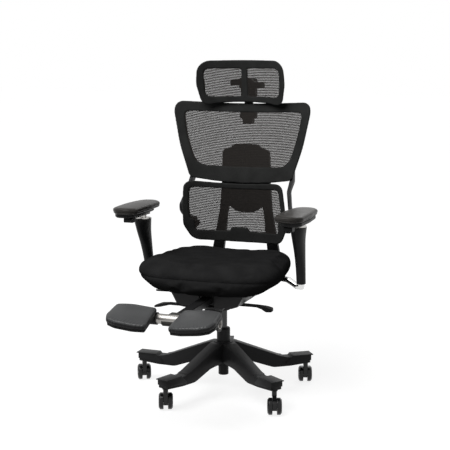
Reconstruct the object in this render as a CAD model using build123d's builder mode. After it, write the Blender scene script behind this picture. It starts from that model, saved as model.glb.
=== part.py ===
from build123d import *
import os
from math import cos, degrees, radians, sin, sqrt, tan

# Reclining office chair with a pull-out footrest, in millimetres.
# The sitter faces -Y and +X is the sitter's left. The origin lies on the floor, under the gas column's axis.

# ---------------------------------------------------------------- fits
RUN_GAP = 0.05          # radial gap of a pin or shaft that turns or slides
SIDE_GAP = 0.3          # gap between faces that slide past each other
SEAT_GAP = 0.1          # gap of a piece that is pressed or slotted in place

# ---------------------------------------------------------------- five-star base and casters
LEG_COUNT = 5
LEG_START = 179.4       # direction of the first leg, degrees from +X
CASTER_REACH = 325.0    # column axis to caster stem
LEG_END = 345.0
LEG_ROOT_WIDTH = 52.0
LEG_END_WIDTH = 44.0
LEG_TAPER_END = 240.0   # radius beyond which a leg keeps its end width
LEG_END_TOP = 115.0
LEG_WALL = 5.0
HUB_RADIUS = 36.0
HUB_TOP = 188.0
HUB_BOTTOM = 100.0
SOCKET_RADIUS = 12.0
SOCKET_BOTTOM = 80.0
CAP_START = 262.0       # where the clip-on cap begins on top of the leg
CAP_END = 350.0
CAP_WIDTH = 52.0
CAP_ROOF = 9.0
WHEEL_RADIUS = 30.0
WHEEL_WIDTH = 17.0
CASTER_WIDTH = 50.0
CASTER_TRAIL = 22.0
CASTER_AXLE_RADIUS = 4.0
STEM_RADIUS = 5.5
STEM_TOP = 107.0
CASTER_TURNS = (28.0, 22.0, 200.0, 20.0, 15.0)  # heading of each caster's trail, degrees from +Y

# ---------------------------------------------------------------- gas column
TUBE_RADIUS = 25.0
TUBE_FOOT_RADIUS = 19.0
TUBE_BOTTOM = 61.0
TUBE_TOP = 205.0
TUBE_BORE_RADIUS = 16.5
TUBE_TAPER = 2.0        # how much the tube narrows inside the hub
TUBE_FLOOR = 5.0
GUIDE_DEPTH = 55.0
GUIDE_RIM = 3.0
PISTON_RADIUS = 14.0
PISTON_BOTTOM = 166.0
PISTON_TOP = 350.0
PISTON_BORE_DEPTH = 125.0
ROD_RADIUS = 5.0
ROD_TOP = 190.0
ROD_WASHER_RADIUS = 12.0
ROD_WASHER = 5.0

# ---------------------------------------------------------------- tilt mechanism
HOUSING_HALF_WIDTH = 60.0
HOUSING_FRONT = -165.0
HOUSING_REAR = 100.0
HOUSING_BOTTOM = 335.0
HOUSING_TOP = 366.0
CHANNEL_HALF_WIDTH = 30.0
CHANNEL_FLOOR = 352.0
CHANNEL_REAR = 56.0
CONE_BOTTOM = 308.0
CONE_BOTTOM_RADIUS = 24.0
CONE_TOP_RADIUS = 35.0
TILT_PIVOT_Y = -120.0
TILT_PIVOT_Z = 375.0
TILT_PIN_RADIUS = 5.0
RECLINE_Y = 75.0
RECLINE_Z = 350.0
RECLINE_PIN_RADIUS = 6.0
EYE_WALL = 8.0
KNOB_RADIUS = 32.0
KNOB_HEIGHT = 15.0
KNOB_Y = -105.0
KNOB_STEM_RADIUS = 8.0
LEVER_PIVOT_X = 71.0
LEVER_PIVOT_Z = 346.0
LEVER_PIN_RADIUS = 3.0
LEVER_EYE_RADIUS = 7.0
LEVER_WIDTH = 14.0
LEVER_LUG = 4.0         # thickness of the housing's lever lugs
HEIGHT_LEVER_Y = -150.0
TILT_LEVER_Y = -60.0

# ---------------------------------------------------------------- seat carrier, pan and cushion
PLATE_BOTTOM = 398.5
PLATE_THICKNESS = 3.0
PLATE_HALF_WIDTH = 150.0
PLATE_FRONT = -175.0
PLATE_REAR = 150.0
SKIRT_BOTTOM = 362.0
SKIRT_BOTTOM_HALF_WIDTH = 116.0
SKIRT_REAR = -40.0
SLIDE_LEVER_Y = -150.0
SLIDE_LEVER_PIVOT_X = 144.5
SLIDE_LEVER_THICKNESS = 3.0
CARRIER_EAR_IN = 61.0
CARRIER_EAR_OUT = 67.0
PAN_GAP = 0.3
PAN_THICKNESS = 9.0
PAN_HALF_WIDTH = 222.0
PAN_FRONT = -236.0
PAN_REAR = 196.0
CUSHION_HALF_WIDTH = 262.0
CUSHION_FRONT = -277.0
CUSHION_REAR = 216.0
CUSHION_BOTTOM = 411.5
CUSHION_TOP = 513.0
CUSHION_SEAM_Z = 452.0
CUSHION_SIDE_RISE = 26.0   # how far the underside rises towards the sides

# ---------------------------------------------------------------- footrest
BAR_SLOPE = 1.5            # degrees, down towards the front
BAR_WIDTH = 39.0
BAR_HEIGHT = 24.0
BAR_TOP_REF = 389.5        # height of the bar's top at BAR_REF_Y
BAR_REF_Y = -203.0
BAR_REAR = -95.0
BAR_FRONT = -474.0
BAR_WALL = 2.5
RAIL_HALF_WIDTH = 27.0
RAIL_FRONT = -171.0
RAIL_REAR = -20.0
RAIL_BOTTOM = 361.0
RAIL_SLOT_HALF_WIDTH = 13.0
CROSS_Y = -497.0
CROSS_Z = 382.0
CROSS_RADIUS = 17.0
CROSS_HALF_LENGTH = 190.0
COVER_HALF_WIDTH = 29.0
SLEEVE_RADIUS = 21.0
FOOT_PAD_THICKNESS = 19.0
FOOT_SHELL_THICKNESS = 7.0
FOOT_PAD_INNER = 47.0
FOOT_PAD_SLOPE = 13.5      # degrees, down towards the front
FOOT_PAD_CANT = 5.0        # degrees, rising outwards

# ---------------------------------------------------------------- armrests
ARM_X = 297.0
ARM_Y = 5.0
ARM_LEAN = 9.0             # forward lean of the post, degrees
BRACKET_Y = 48.0
BRACKET_WIDTH = 34.0
BRACKET_HEIGHT = 13.0
UPRIGHT_BOTTOM = 393.0
UPRIGHT_TOP = 585.0
UPRIGHT_X = 20.0
UPRIGHT_Y = 26.0
SLEEVE_BOTTOM = 415.0
SLEEVE_TOP = 640.0
ARM_TOP_Y = -46.0
SWIVEL_X = 301.0
SWIVEL_PLATE = 5.0
SWIVEL_PLATE_RADIUS = 27.0
SWIVEL_NECK_RADIUS = 12.0
SWIVEL_PIN_RADIUS = 7.0
SWIVEL_PIN_DEPTH = 22.0
CARRIER_BAR = 8.0
CARRIER_BAR_HALF = 13.0
CARRIER_BAR_FRONT = -145.0
CARRIER_BAR_REAR = -12.0
RAIL_T_HALF_WIDTH = 11.0
RAIL_T_NECK_HALF = 6.0
RAIL_T_NECK = 3.0
RAIL_T_HEAD = 3.0
RAIL_T_LENGTH = 90.0
PAD_TRAVEL = 25.0
PAD_BASE_BOTTOM = 662.3
PAD_BASE_TOP = 675.0
PAD_BASE_INSET = 13.0
PAD_X = 313.0
PAD_Y = -88.0
PAD_LENGTH = 268.0
PAD_WIDTH = 105.0
PAD_THICKNESS = 23.0
RELEASE_PIVOT_Y = -146.0
RELEASE_PIN_RADIUS = 1.5
RELEASE_KNUCKLE_HALF = 6.0
RELEASE_LENGTH = 36.0
RELEASE_DROP = 12.0
RELEASE_WIDTH = 32.0

# ---------------------------------------------------------------- back
YOKE_INNER_X = 64.5
YOKE_ARM = 15.0
YOKE_BEAM_FRONT = 196.0
YOKE_BEAM_BOTTOM = 338.0
YOKE_BEAM_TOP = 372.0
STRUT_FOOT_IN = 92.0
STRUT_FOOT_OUT = 140.0
TONGUE_WIDTH = 24.0
STRUT_FRONT = 247.0
STRUT_THICKNESS = 16.0
STRUT_FOOT_Z = 470.0
TONGUE_LENGTH = 26.0
TONGUE_THICKNESS = 6.0
GROOVE_LOW = 690.0
GROOVE_HIGH = 856.0
GROOVE_NECK = 14.0
GROOVE_HEAD = 22.0
GROOVE_NECK_DEPTH = 4.0
GROOVE_HEAD_DEPTH = 6.0

UPPER_RADIUS = 821.0       # plan curve of the upper back
UPPER_FRONT = 207.0        # its front face at x = 0 and z = UPPER_BASE
UPPER_BASE = 751.0
UPPER_LEAN = 0.15          # y per z
UPPER_THICKNESS = 22.0
LUMBAR_RADIUS = 360.0
LUMBAR_FRONT = 188.0
LUMBAR_BASE = 526.0
LUMBAR_LEAN = -0.198
LUMBAR_THICKNESS = 20.0
HEAD_RADIUS = 288.0
HEAD_FRONT = 243.0
HEAD_BASE = 1048.0
HEAD_LEAN = -0.147
HEAD_THICKNESS = 17.0
MESH_THICKNESS = 2.0
LUMBAR_PIVOT_Y = 172.0
LUMBAR_PIVOT_Z = 600.0
LUMBAR_PIN_RADIUS = 5.0
LUMBAR_PIN_LENGTH = 20.0
LUMBAR_BLOCK_IN = 177.0
LUMBAR_BLOCK_FRONT = 161.0
LUMBAR_LUG_IN = 166.0
SLIDER_LOW = 758.0
SLIDER_HIGH = 806.0
SLIDER_HALF_WIDTH = 62.0
HEAD_STRAP = 25.0
SIDE_ARM_IN = 209.0
SIDE_ARM_OUT = 221.0
KNUCKLE_Y = 284.0
KNUCKLE_Z = 1132.0
KNUCKLE_RADIUS = 20.0
KNUCKLE_HALF_WIDTH = 29.0
WING_HALF_WIDTH = 63.0
HEAD_PIN_RADIUS = 4.0
POST_HALF_WIDTH = 16.0
POST_THICKNESS = 12.0
POST_BOTTOM = 990.0
BRACKET_BOTTOM = 978.0
BRACKET_TOP = 1050.0

os.makedirs("parts", exist_ok=True)


def save(piece, name):
    """Labels a finished piece and writes its STEP file."""
    piece.part.label = name
    export_step(piece.part, f"parts/{name}.step")


def plane_y(y):
    """Upright plane facing the front at depth y: its local axes are X and Z."""
    return Plane.XZ.offset(-y)


def plane_x(x):
    """Upright plane facing sideways at x: its local axes are Y and Z."""
    return Plane.YZ.offset(x)


def save_pair(piece, name):
    """Writes a piece modelled on the +X side, and its mirror image on the -X side."""
    save(piece, f"{name}_left")
    with BuildPart() as mirrored:
        mirror(piece.part, about=Plane.YZ)
    save(mirrored, f"{name}_right")


def curved_slab(radius, front, base, lean, top, inset, thickness, reach):
    """Slab that curves round the sitter in plan and leans by `lean` of y per z.

    Its front face lies `inset` behind the panel's own front face."""
    centre_y = front - radius
    inner = radius + inset
    outer = inner + thickness
    angle = radians(90 - degrees(reach / radius))
    with BuildPart() as slab:
        with BuildSketch(Plane.XY.offset(base)):
            with BuildLine():
                ends = [(r * cos(angle), centre_y + r * sin(angle)) for r in (inner, outer)]
                ThreePointArc((-ends[0][0], ends[0][1]), (0, centre_y + inner), ends[0])
                Line(ends[0], ends[1])
                ThreePointArc(ends[1], (0, centre_y + outer), (-ends[1][0], ends[1][1]))
                Line((-ends[1][0], ends[1][1]), (-ends[0][0], ends[0][1]))
            make_face()
        extrude(amount=(top - base) * sqrt(1 + lean**2), dir=(0, lean, 1))
    return slab.part


# ================================================================ base
def leg_width(r):
    """Width of a leg at radius r: it tapers to its end width and then stays."""
    share = min(r / LEG_TAPER_END, 1.0)
    return LEG_ROOT_WIDTH + (LEG_END_WIDTH - LEG_ROOT_WIDTH) * share


leg_outline = [
    (0, HUB_TOP - 2), (48, HUB_TOP - 2), (222, LEG_END_TOP + 2), (240, LEG_END_TOP), (LEG_END, LEG_END_TOP),
    (LEG_END, 84.5), (255, 77.5), (190, 77), (105, 107), (40, 114), (0, 114),
]
leg_corners = [0, 30, 60, 20, 0, 0, 60, 60, 50, 20, 0]

with BuildPart() as leg:
    with BuildSketch(Plane.XZ):
        with BuildLine():
            FilletPolyline(*leg_outline, radius=leg_corners, close=True)
        make_face()
    extrude(amount=LEG_ROOT_WIDTH, both=True)
    with BuildSketch(Plane.XY):
        with BuildLine():
            Polyline((0, -LEG_ROOT_WIDTH / 2), (LEG_TAPER_END, -LEG_END_WIDTH / 2), (LEG_END, -LEG_END_WIDTH / 2),
                     (LEG_END, LEG_END_WIDTH / 2), (LEG_TAPER_END, LEG_END_WIDTH / 2), (0, LEG_ROOT_WIDTH / 2),
                     close=True)
        make_face()
    extrude(amount=HUB_TOP, mode=Mode.INTERSECT)
    # The underside is open, with a cross rib between the two pockets.
    for start, end, roof_start, roof_end in ((64, 176, 168, 122), (182, 302, 119, 106)):
        half = leg_width(end) / 2 - LEG_WALL
        with BuildSketch(Plane.XZ):
            with BuildLine():
                Polyline((start, SOCKET_BOTTOM - 40), (end, SOCKET_BOTTOM - 40), (end, roof_end),
                         (start, roof_start), close=True)
            make_face()
        extrude(amount=half, both=True, mode=Mode.SUBTRACT)

hub_bore_radius = TUBE_RADIUS + SEAT_GAP

with BuildPart() as base_star:
    with PolarLocations(0, LEG_COUNT, start_angle=LEG_START):
        add(leg.part)
    with BuildSketch(Plane.XY.offset(HUB_BOTTOM)):
        Circle(HUB_RADIUS)
    extrude(amount=HUB_TOP - HUB_BOTTOM)
    with BuildSketch(Plane.XY.offset(SOCKET_BOTTOM)):
        with PolarLocations(CASTER_REACH, LEG_COUNT, start_angle=LEG_START):
            Circle(SOCKET_RADIUS)
    extrude(amount=LEG_END_TOP - SOCKET_BOTTOM)
    with BuildSketch(Plane.XZ):
        with BuildLine():
            Polyline((0, HUB_BOTTOM), (hub_bore_radius - TUBE_TAPER, HUB_BOTTOM), (hub_bore_radius, HUB_TOP),
                     (0, HUB_TOP), close=True)
        make_face()
    revolve(axis=Axis.Z, mode=Mode.SUBTRACT)
    with BuildSketch(Plane.XY.offset(SOCKET_BOTTOM)):
        with PolarLocations(CASTER_REACH, LEG_COUNT, start_angle=LEG_START):
            Circle(STEM_RADIUS + RUN_GAP)
    extrude(amount=STEM_TOP + 1 - SOCKET_BOTTOM, mode=Mode.SUBTRACT)
save(base_star, "base_star")

cap_side = (CAP_WIDTH - LEG_END_WIDTH) / 2 - SEAT_GAP

with BuildPart() as leg_cap:
    with BuildSketch(Plane.XZ):
        with BuildLine():
            FilletPolyline((CAP_START, LEG_END_TOP + 2), (CAP_START + 6, LEG_END_TOP + CAP_ROOF),
                           (CAP_END, LEG_END_TOP + CAP_ROOF), (CAP_END, SOCKET_BOTTOM + 7), (240, 77),
                           (238, 84), radius=[0, 4, 4, 2, 0, 0], close=True)
        make_face()
    extrude(amount=CAP_WIDTH / 2, both=True)
    with BuildSketch(Plane.XZ):
        with Locations(((CAP_START + LEG_END) / 2, LEG_END_TOP - 50)):
            Rectangle(LEG_END - CAP_START + 140, 100)
    extrude(amount=CAP_WIDTH / 2 - cap_side, both=True, mode=Mode.SUBTRACT)
with BuildPart() as leg_caps:
    with PolarLocations(0, LEG_COUNT, start_angle=LEG_START):
        add(leg_cap.part)
save(leg_caps, "leg_caps")

# ---------------------------------------------------------------- gas column
with BuildPart() as column_tube:
    with BuildSketch(Plane.XZ):
        with BuildLine():
            Polyline((TUBE_BORE_RADIUS, TUBE_BOTTOM + TUBE_FLOOR), (TUBE_BORE_RADIUS, TUBE_TOP),
                     (TUBE_RADIUS, TUBE_TOP), (TUBE_RADIUS, HUB_TOP), (TUBE_RADIUS - TUBE_TAPER, HUB_BOTTOM),
                     (TUBE_FOOT_RADIUS, HUB_BOTTOM - 2), (TUBE_FOOT_RADIUS, TUBE_BOTTOM), (0, TUBE_BOTTOM),
                     (0, TUBE_BOTTOM + TUBE_FLOOR), close=True)
        make_face()
    revolve(axis=Axis.Z)
save(column_tube, "column_tube")

with BuildPart() as column_guide:
    with BuildSketch(Plane.XY.offset(TUBE_TOP - GUIDE_DEPTH)):
        Circle(TUBE_BORE_RADIUS - RUN_GAP)
    extrude(amount=GUIDE_DEPTH)
    with BuildSketch(Plane.XY.offset(TUBE_TOP)):
        Circle(TUBE_RADIUS - 1)
    extrude(amount=GUIDE_RIM)
    chamfer(column_guide.edges().sort_by(Axis.Z)[-1], 1.5)
    with BuildSketch(Plane.XY.offset(TUBE_TOP - GUIDE_DEPTH)):
        Circle(PISTON_RADIUS + RUN_GAP)
    extrude(amount=GUIDE_DEPTH + GUIDE_RIM, mode=Mode.SUBTRACT)
save(column_guide, "column_guide")

rod_bottom = TUBE_BOTTOM + TUBE_FLOOR + SIDE_GAP

with BuildPart() as gas_rod:
    with BuildSketch(Plane.XY.offset(rod_bottom)):
        Circle(ROD_WASHER_RADIUS)
    extrude(amount=ROD_WASHER)
    with BuildSketch(Plane.XY.offset(rod_bottom)):
        Circle(ROD_RADIUS)
    extrude(amount=ROD_TOP - rod_bottom)
save(gas_rod, "gas_rod")

with BuildPart() as gas_piston:
    with BuildSketch(Plane.XY.offset(PISTON_BOTTOM)):
        Circle(PISTON_RADIUS)
    extrude(amount=PISTON_TOP - PISTON_BOTTOM)
    with BuildSketch(Plane.XY.offset(PISTON_BOTTOM)):
        Circle(ROD_RADIUS + RUN_GAP)
    extrude(amount=PISTON_BORE_DEPTH, mode=Mode.SUBTRACT)
save(gas_piston, "gas_piston")

# ---------------------------------------------------------------- casters
hood_width = CASTER_WIDTH - 2 * WHEEL_WIDTH - 2 * SIDE_GAP
hood_radius = WHEEL_RADIUS - 3
collar_top = SOCKET_BOTTOM - SIDE_GAP

with BuildPart() as caster_body:
    with BuildSketch(Plane.YZ):
        with Locations((CASTER_TRAIL, WHEEL_RADIUS)):
            Circle(hood_radius)
        with BuildLine():
            Polyline((-9, 2 * WHEEL_RADIUS - 22), (-9, 2 * WHEEL_RADIUS + 4), (9, 2 * WHEEL_RADIUS + 4),
                     (CASTER_TRAIL + 8, WHEEL_RADIUS + 24), (CASTER_TRAIL, WHEEL_RADIUS), close=True)
        make_face()
        # The hood ends below the axle, so the wheels show between their lower halves.
        with Locations((CASTER_TRAIL, WHEEL_RADIUS - 9 - hood_radius)):
            Rectangle(3 * hood_radius, 2 * hood_radius, mode=Mode.SUBTRACT)
    extrude(amount=hood_width / 2, both=True)
    with BuildSketch(Plane.YZ):
        with Locations((CASTER_TRAIL, WHEEL_RADIUS)):
            Circle(CASTER_AXLE_RADIUS + RUN_GAP)
    extrude(amount=hood_width, both=True, mode=Mode.SUBTRACT)
    with BuildSketch(Plane.XY.offset(2 * WHEEL_RADIUS)):
        Circle(9)
    extrude(amount=collar_top - 2 * WHEEL_RADIUS)
    with BuildSketch(Plane.XY.offset(2 * WHEEL_RADIUS)):
        Circle(STEM_RADIUS)
    extrude(amount=STEM_TOP - 2 * WHEEL_RADIUS)

with BuildPart() as caster_wheels:
    with BuildSketch(Plane.XY):
        inner = CASTER_WIDTH / 2 - WHEEL_WIDTH
        with BuildLine():
            # Half section of a wheel: rounded tread, dished outer face and a small hub cap.
            FilletPolyline((inner, 0), (inner, WHEEL_RADIUS - 1), (inner + 1, WHEEL_RADIUS),
                           (inner + WHEEL_WIDTH - 5, WHEEL_RADIUS), (inner + WHEEL_WIDTH, WHEEL_RADIUS - 6),
                           (inner + WHEEL_WIDTH, WHEEL_RADIUS - 9), (inner + WHEEL_WIDTH - 3, WHEEL_RADIUS - 12),
                           (inner + WHEEL_WIDTH - 3, 9), (inner + WHEEL_WIDTH - 1, 7), (inner + WHEEL_WIDTH - 1, 0),
                           radius=[0, 0, 0, 3, 0, 1, 0, 0, 0, 0], close=True)
        make_face()
    revolve(axis=Axis.X)
    mirror(about=Plane.YZ)
    with BuildSketch(Plane.YZ):
        Circle(CASTER_AXLE_RADIUS)
    extrude(amount=CASTER_WIDTH / 2 - WHEEL_WIDTH + 2, both=True)

for index in range(LEG_COUNT):
    leg_angle = radians(LEG_START + index * 360 / LEG_COUNT)
    stem = Location((CASTER_REACH * cos(leg_angle), CASTER_REACH * sin(leg_angle), 0), (0, 0, CASTER_TURNS[index]))
    axle = stem * Location((0, CASTER_TRAIL, WHEEL_RADIUS))
    with BuildPart() as placed_body:
        with Locations(stem):
            add(caster_body.part)
    save(placed_body, f"caster_body_{index + 1}")
    with BuildPart() as placed_wheels:
        with Locations(axle):
            add(caster_wheels.part)
    save(placed_wheels, f"caster_wheels_{index + 1}")

# ================================================================ tilt mechanism
lug_inner = LEVER_WIDTH / 2 + SIDE_GAP

with BuildPart() as tilt_housing:
    with BuildSketch(plane_x(0)):
        with BuildLine():
            FilletPolyline((HOUSING_FRONT, HOUSING_TOP - 14), (HOUSING_FRONT + 12, HOUSING_TOP),
                           (HOUSING_REAR - 30, HOUSING_TOP), (HOUSING_REAR, HOUSING_TOP - 10),
                           (HOUSING_REAR, HOUSING_BOTTOM + 5), (HOUSING_REAR - 20, HOUSING_BOTTOM),
                           (HOUSING_FRONT + 30, HOUSING_BOTTOM), (HOUSING_FRONT, HOUSING_BOTTOM + 12),
                           radius=[3, 5, 10, 4, 4, 20, 20, 6], close=True)
        make_face()
    extrude(amount=HOUSING_HALF_WIDTH, both=True)
    with BuildSketch(plane_y(HOUSING_FRONT)):
        with BuildLine():
            Polyline((-HOUSING_HALF_WIDTH + 18, HOUSING_BOTTOM), (HOUSING_HALF_WIDTH - 18, HOUSING_BOTTOM),
                     (HOUSING_HALF_WIDTH, HOUSING_BOTTOM + 14), (HOUSING_HALF_WIDTH, HOUSING_TOP),
                     (-HOUSING_HALF_WIDTH, HOUSING_TOP), (-HOUSING_HALF_WIDTH, HOUSING_BOTTOM + 14), close=True)
        make_face()
    extrude(amount=HOUSING_FRONT - HOUSING_REAR, mode=Mode.INTERSECT)
    # Ears that carry the seat's tilt pivots.
    with BuildSketch(plane_x(CHANNEL_HALF_WIDTH + 14)):
        with BuildLine():
            FilletPolyline((TILT_PIVOT_Y - 22, HOUSING_TOP - 2), (TILT_PIVOT_Y - 12, TILT_PIVOT_Z + 12),
                           (TILT_PIVOT_Y + 12, TILT_PIVOT_Z + 12), (TILT_PIVOT_Y + 22, HOUSING_TOP - 2),
                           radius=[0, 6, 6, 0], close=True)
        make_face()
    extrude(amount=HOUSING_HALF_WIDTH - CHANNEL_HALF_WIDTH - 14)
    mirror(about=Plane.YZ)
    # Lugs for the two levers.
    for side, lever_y in ((-1, HEIGHT_LEVER_Y), (1, TILT_LEVER_Y)):
        for edge in (-1, 1):
            with BuildSketch(plane_y(lever_y + edge * (lug_inner + LEVER_LUG / 2))):
                with Locations((side * LEVER_PIVOT_X, LEVER_PIVOT_Z)):
                    Circle(LEVER_EYE_RADIUS)
                with Locations((side * (HOUSING_HALF_WIDTH + LEVER_PIVOT_X - 12) / 2, LEVER_PIVOT_Z)):
                    Rectangle(LEVER_PIVOT_X - HOUSING_HALF_WIDTH + 12, 2 * LEVER_EYE_RADIUS)
            extrude(amount=LEVER_LUG / 2, both=True)
    # Cone that grips the top of the gas column.
    with BuildSketch(Plane.XZ):
        with BuildLine():
            Polyline((0, CONE_BOTTOM), (CONE_BOTTOM_RADIUS, CONE_BOTTOM), (CONE_TOP_RADIUS, HOUSING_BOTTOM + 1),
                     (0, HOUSING_BOTTOM + 1), close=True)
        make_face()
    revolve(axis=Axis.Z)
    # Channel for the footrest bar, open at the front.
    with BuildSketch(Plane.XY.offset(CHANNEL_FLOOR)):
        with Locations((0, (HOUSING_FRONT - 20 + CHANNEL_REAR) / 2)):
            Rectangle(2 * CHANNEL_HALF_WIDTH, CHANNEL_REAR - HOUSING_FRONT + 20)
    extrude(amount=TILT_PIVOT_Z, mode=Mode.SUBTRACT)
    with BuildSketch(Plane.XY.offset(CONE_BOTTOM)):
        Circle(PISTON_RADIUS + SEAT_GAP)
    extrude(amount=PISTON_TOP - CONE_BOTTOM, mode=Mode.SUBTRACT)
    with BuildSketch(plane_x(0)):
        with Locations((TILT_PIVOT_Y, TILT_PIVOT_Z)):
            Circle(TILT_PIN_RADIUS + SEAT_GAP)
        with Locations((RECLINE_Y, RECLINE_Z)):
            Circle(RECLINE_PIN_RADIUS + SEAT_GAP)
    extrude(amount=HOUSING_HALF_WIDTH, both=True, mode=Mode.SUBTRACT)
    for side, lever_y in ((-1, HEIGHT_LEVER_Y), (1, TILT_LEVER_Y)):
        with BuildSketch(plane_y(lever_y)):
            with Locations((side * LEVER_PIVOT_X, LEVER_PIVOT_Z)):
                Circle(LEVER_PIN_RADIUS + SEAT_GAP)
        extrude(amount=lug_inner + LEVER_LUG, both=True, mode=Mode.SUBTRACT)
    with BuildSketch(Plane.XY.offset(HOUSING_BOTTOM)):
        with Locations((0, KNOB_Y)):
            Circle(KNOB_STEM_RADIUS + RUN_GAP)
    extrude(amount=CHANNEL_FLOOR - HOUSING_BOTTOM - 4, mode=Mode.SUBTRACT)
save(tilt_housing, "tilt_housing")

yoke_outer = YOKE_INNER_X + YOKE_ARM
tilt_pin_inner = CHANNEL_HALF_WIDTH + 15

with BuildPart() as pivot_pins:
    with BuildSketch(plane_x(tilt_pin_inner)):
        with Locations((TILT_PIVOT_Y, TILT_PIVOT_Z)):
            Circle(TILT_PIN_RADIUS)
    extrude(amount=CARRIER_EAR_OUT + 2 - tilt_pin_inner)
    mirror(about=Plane.YZ)
    with BuildSketch(plane_x(0)):
        with Locations((RECLINE_Y, RECLINE_Z)):
            Circle(RECLINE_PIN_RADIUS)
    extrude(amount=yoke_outer + 3, both=True)
    for side, lever_y in ((-1, HEIGHT_LEVER_Y), (1, TILT_LEVER_Y)):
        with BuildSketch(plane_y(lever_y)):
            with Locations((side * LEVER_PIVOT_X, LEVER_PIVOT_Z)):
                Circle(LEVER_PIN_RADIUS)
        extrude(amount=lug_inner + LEVER_LUG, both=True)
save(pivot_pins, "pivot_pins")

with BuildPart() as tension_knob:
    knob_top = HOUSING_BOTTOM - SIDE_GAP
    with BuildSketch(Plane.XY.offset(knob_top - KNOB_HEIGHT)):
        with Locations((0, KNOB_Y)):
            Circle(KNOB_RADIUS)
            with PolarLocations(KNOB_RADIUS + 3, 12):
                Circle(6, mode=Mode.SUBTRACT)
    extrude(amount=KNOB_HEIGHT)
    chamfer(tension_knob.faces().sort_by(Axis.Z)[0].edges(), 2)
    with BuildSketch(Plane.XY.offset(knob_top)):
        with Locations((0, KNOB_Y)):
            Circle(KNOB_STEM_RADIUS)
    extrude(amount=CHANNEL_FLOOR - HOUSING_BOTTOM - 5)
save(tension_knob, "tension_knob")


def lever(side, lever_y, profile, profile_radii, plan):
    """Lever on a pin along Y: a curved band seen from the front, shaped by its plan outline."""
    with BuildPart() as piece:
        with BuildSketch(plane_y(lever_y)):
            with BuildLine():
                FilletPolyline(*[(side * x, z) for x, z in profile], radius=profile_radii, close=True)
            make_face()
        extrude(amount=60, both=True)
        with BuildSketch(Plane.XY.offset(LEVER_PIVOT_Z - 40)):
            with BuildLine():
                FilletPolyline(*[(side * x, lever_y + y) for x, y in plan[0]], radius=plan[1], close=True)
            make_face()
        extrude(amount=80, mode=Mode.INTERSECT)
        with BuildSketch(plane_y(lever_y)):
            with Locations((side * LEVER_PIVOT_X, LEVER_PIVOT_Z)):
                Circle(LEVER_EYE_RADIUS)
        extrude(amount=LEVER_WIDTH / 2, both=True)
        with BuildSketch(plane_y(lever_y)):
            with Locations((side * LEVER_PIVOT_X, LEVER_PIVOT_Z)):
                Circle(LEVER_PIN_RADIUS + RUN_GAP)
        extrude(amount=LEVER_WIDTH, both=True, mode=Mode.SUBTRACT)
    return piece


paddle_plan = (
    [(66, -7), (150, -6), (180, -15), (211, -15), (211, 15), (180, 15), (150, 6), (66, 7)],
    [0, 10, 12, 11, 11, 12, 10, 0],
)
height_lever = lever(
    -1, HEIGHT_LEVER_Y,
    [(71, 351), (110, 355), (150, 355), (185, 350), (211, 340), (211, 334), (185, 338), (150, 346), (110, 346),
     (71, 341)],
    [0, 30, 30, 30, 3, 3, 20, 30, 30, 0], paddle_plan)
save(height_lever, "height_lever")

tilt_lever = lever(
    1, TILT_LEVER_Y,
    [(71, 351), (150, 350), (190, 345), (212, 340), (212, 329), (190, 328), (172, 337), (150, 341), (71, 341)],
    [0, 60, 30, 5, 5, 6, 15, 30, 0], paddle_plan)
save(tilt_lever, "tilt_lever")

# ================================================================ seat
plate_top = PLATE_BOTTOM + PLATE_THICKNESS

with BuildPart() as seat_carrier:
    with BuildSketch(Plane.XY.offset(PLATE_BOTTOM)):
        with Locations((0, (PLATE_FRONT + PLATE_REAR) / 2)):
            RectangleRounded(2 * PLATE_HALF_WIDTH, PLATE_REAR - PLATE_FRONT, 12)
    extrude(amount=PLATE_THICKNESS)
    # Sloping skirts and the front wall make the tray that shows below the cushion.
    with BuildSketch(plane_y(PLATE_FRONT)):
        with BuildLine():
            Polyline((PLATE_HALF_WIDTH - 14, PLATE_BOTTOM), (SKIRT_BOTTOM_HALF_WIDTH, SKIRT_BOTTOM),
                     (SKIRT_BOTTOM_HALF_WIDTH - 3, SKIRT_BOTTOM), (PLATE_HALF_WIDTH - 18, PLATE_BOTTOM), close=True)
        make_face()
        mirror(about=Plane.YZ)
    extrude(amount=-(SKIRT_REAR - PLATE_FRONT))
    with BuildSketch(plane_y(PLATE_FRONT)):
        with BuildLine():
            Polyline((RAIL_HALF_WIDTH + 2, PLATE_BOTTOM), (PLATE_HALF_WIDTH - 14, PLATE_BOTTOM),
                     (SKIRT_BOTTOM_HALF_WIDTH, SKIRT_BOTTOM), (SKIRT_BOTTOM_HALF_WIDTH - 22, SKIRT_BOTTOM - 8),
                     (RAIL_HALF_WIDTH + 2, SKIRT_BOTTOM - 8), close=True)
        make_face()
        mirror(about=Plane.YZ)
    extrude(amount=-PLATE_THICKNESS)
    # Ears that hang on the tilt pivots.
    with BuildSketch(plane_x(CARRIER_EAR_IN)):
        with Locations((TILT_PIVOT_Y, TILT_PIVOT_Z)):
            Circle(TILT_PIN_RADIUS + EYE_WALL)
        with Locations((TILT_PIVOT_Y, (TILT_PIVOT_Z + PLATE_BOTTOM) / 2)):
            Rectangle(2 * (TILT_PIN_RADIUS + EYE_WALL), PLATE_BOTTOM - TILT_PIVOT_Z)
        with Locations((TILT_PIVOT_Y, TILT_PIVOT_Z)):
            Circle(TILT_PIN_RADIUS + RUN_GAP, mode=Mode.SUBTRACT)
    extrude(amount=CARRIER_EAR_OUT - CARRIER_EAR_IN)
    mirror(about=Plane.YZ)
    # Hole for the seat slide lever's pivot.
    with BuildSketch(Plane.XY.offset(PLATE_BOTTOM)):
        with Locations((-SLIDE_LEVER_PIVOT_X, SLIDE_LEVER_Y)):
            Circle(LEVER_PIN_RADIUS + SEAT_GAP)
    extrude(amount=PLATE_THICKNESS, mode=Mode.SUBTRACT)
save(seat_carrier, "seat_carrier")

slide_lever_top = PLATE_BOTTOM - SIDE_GAP

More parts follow.
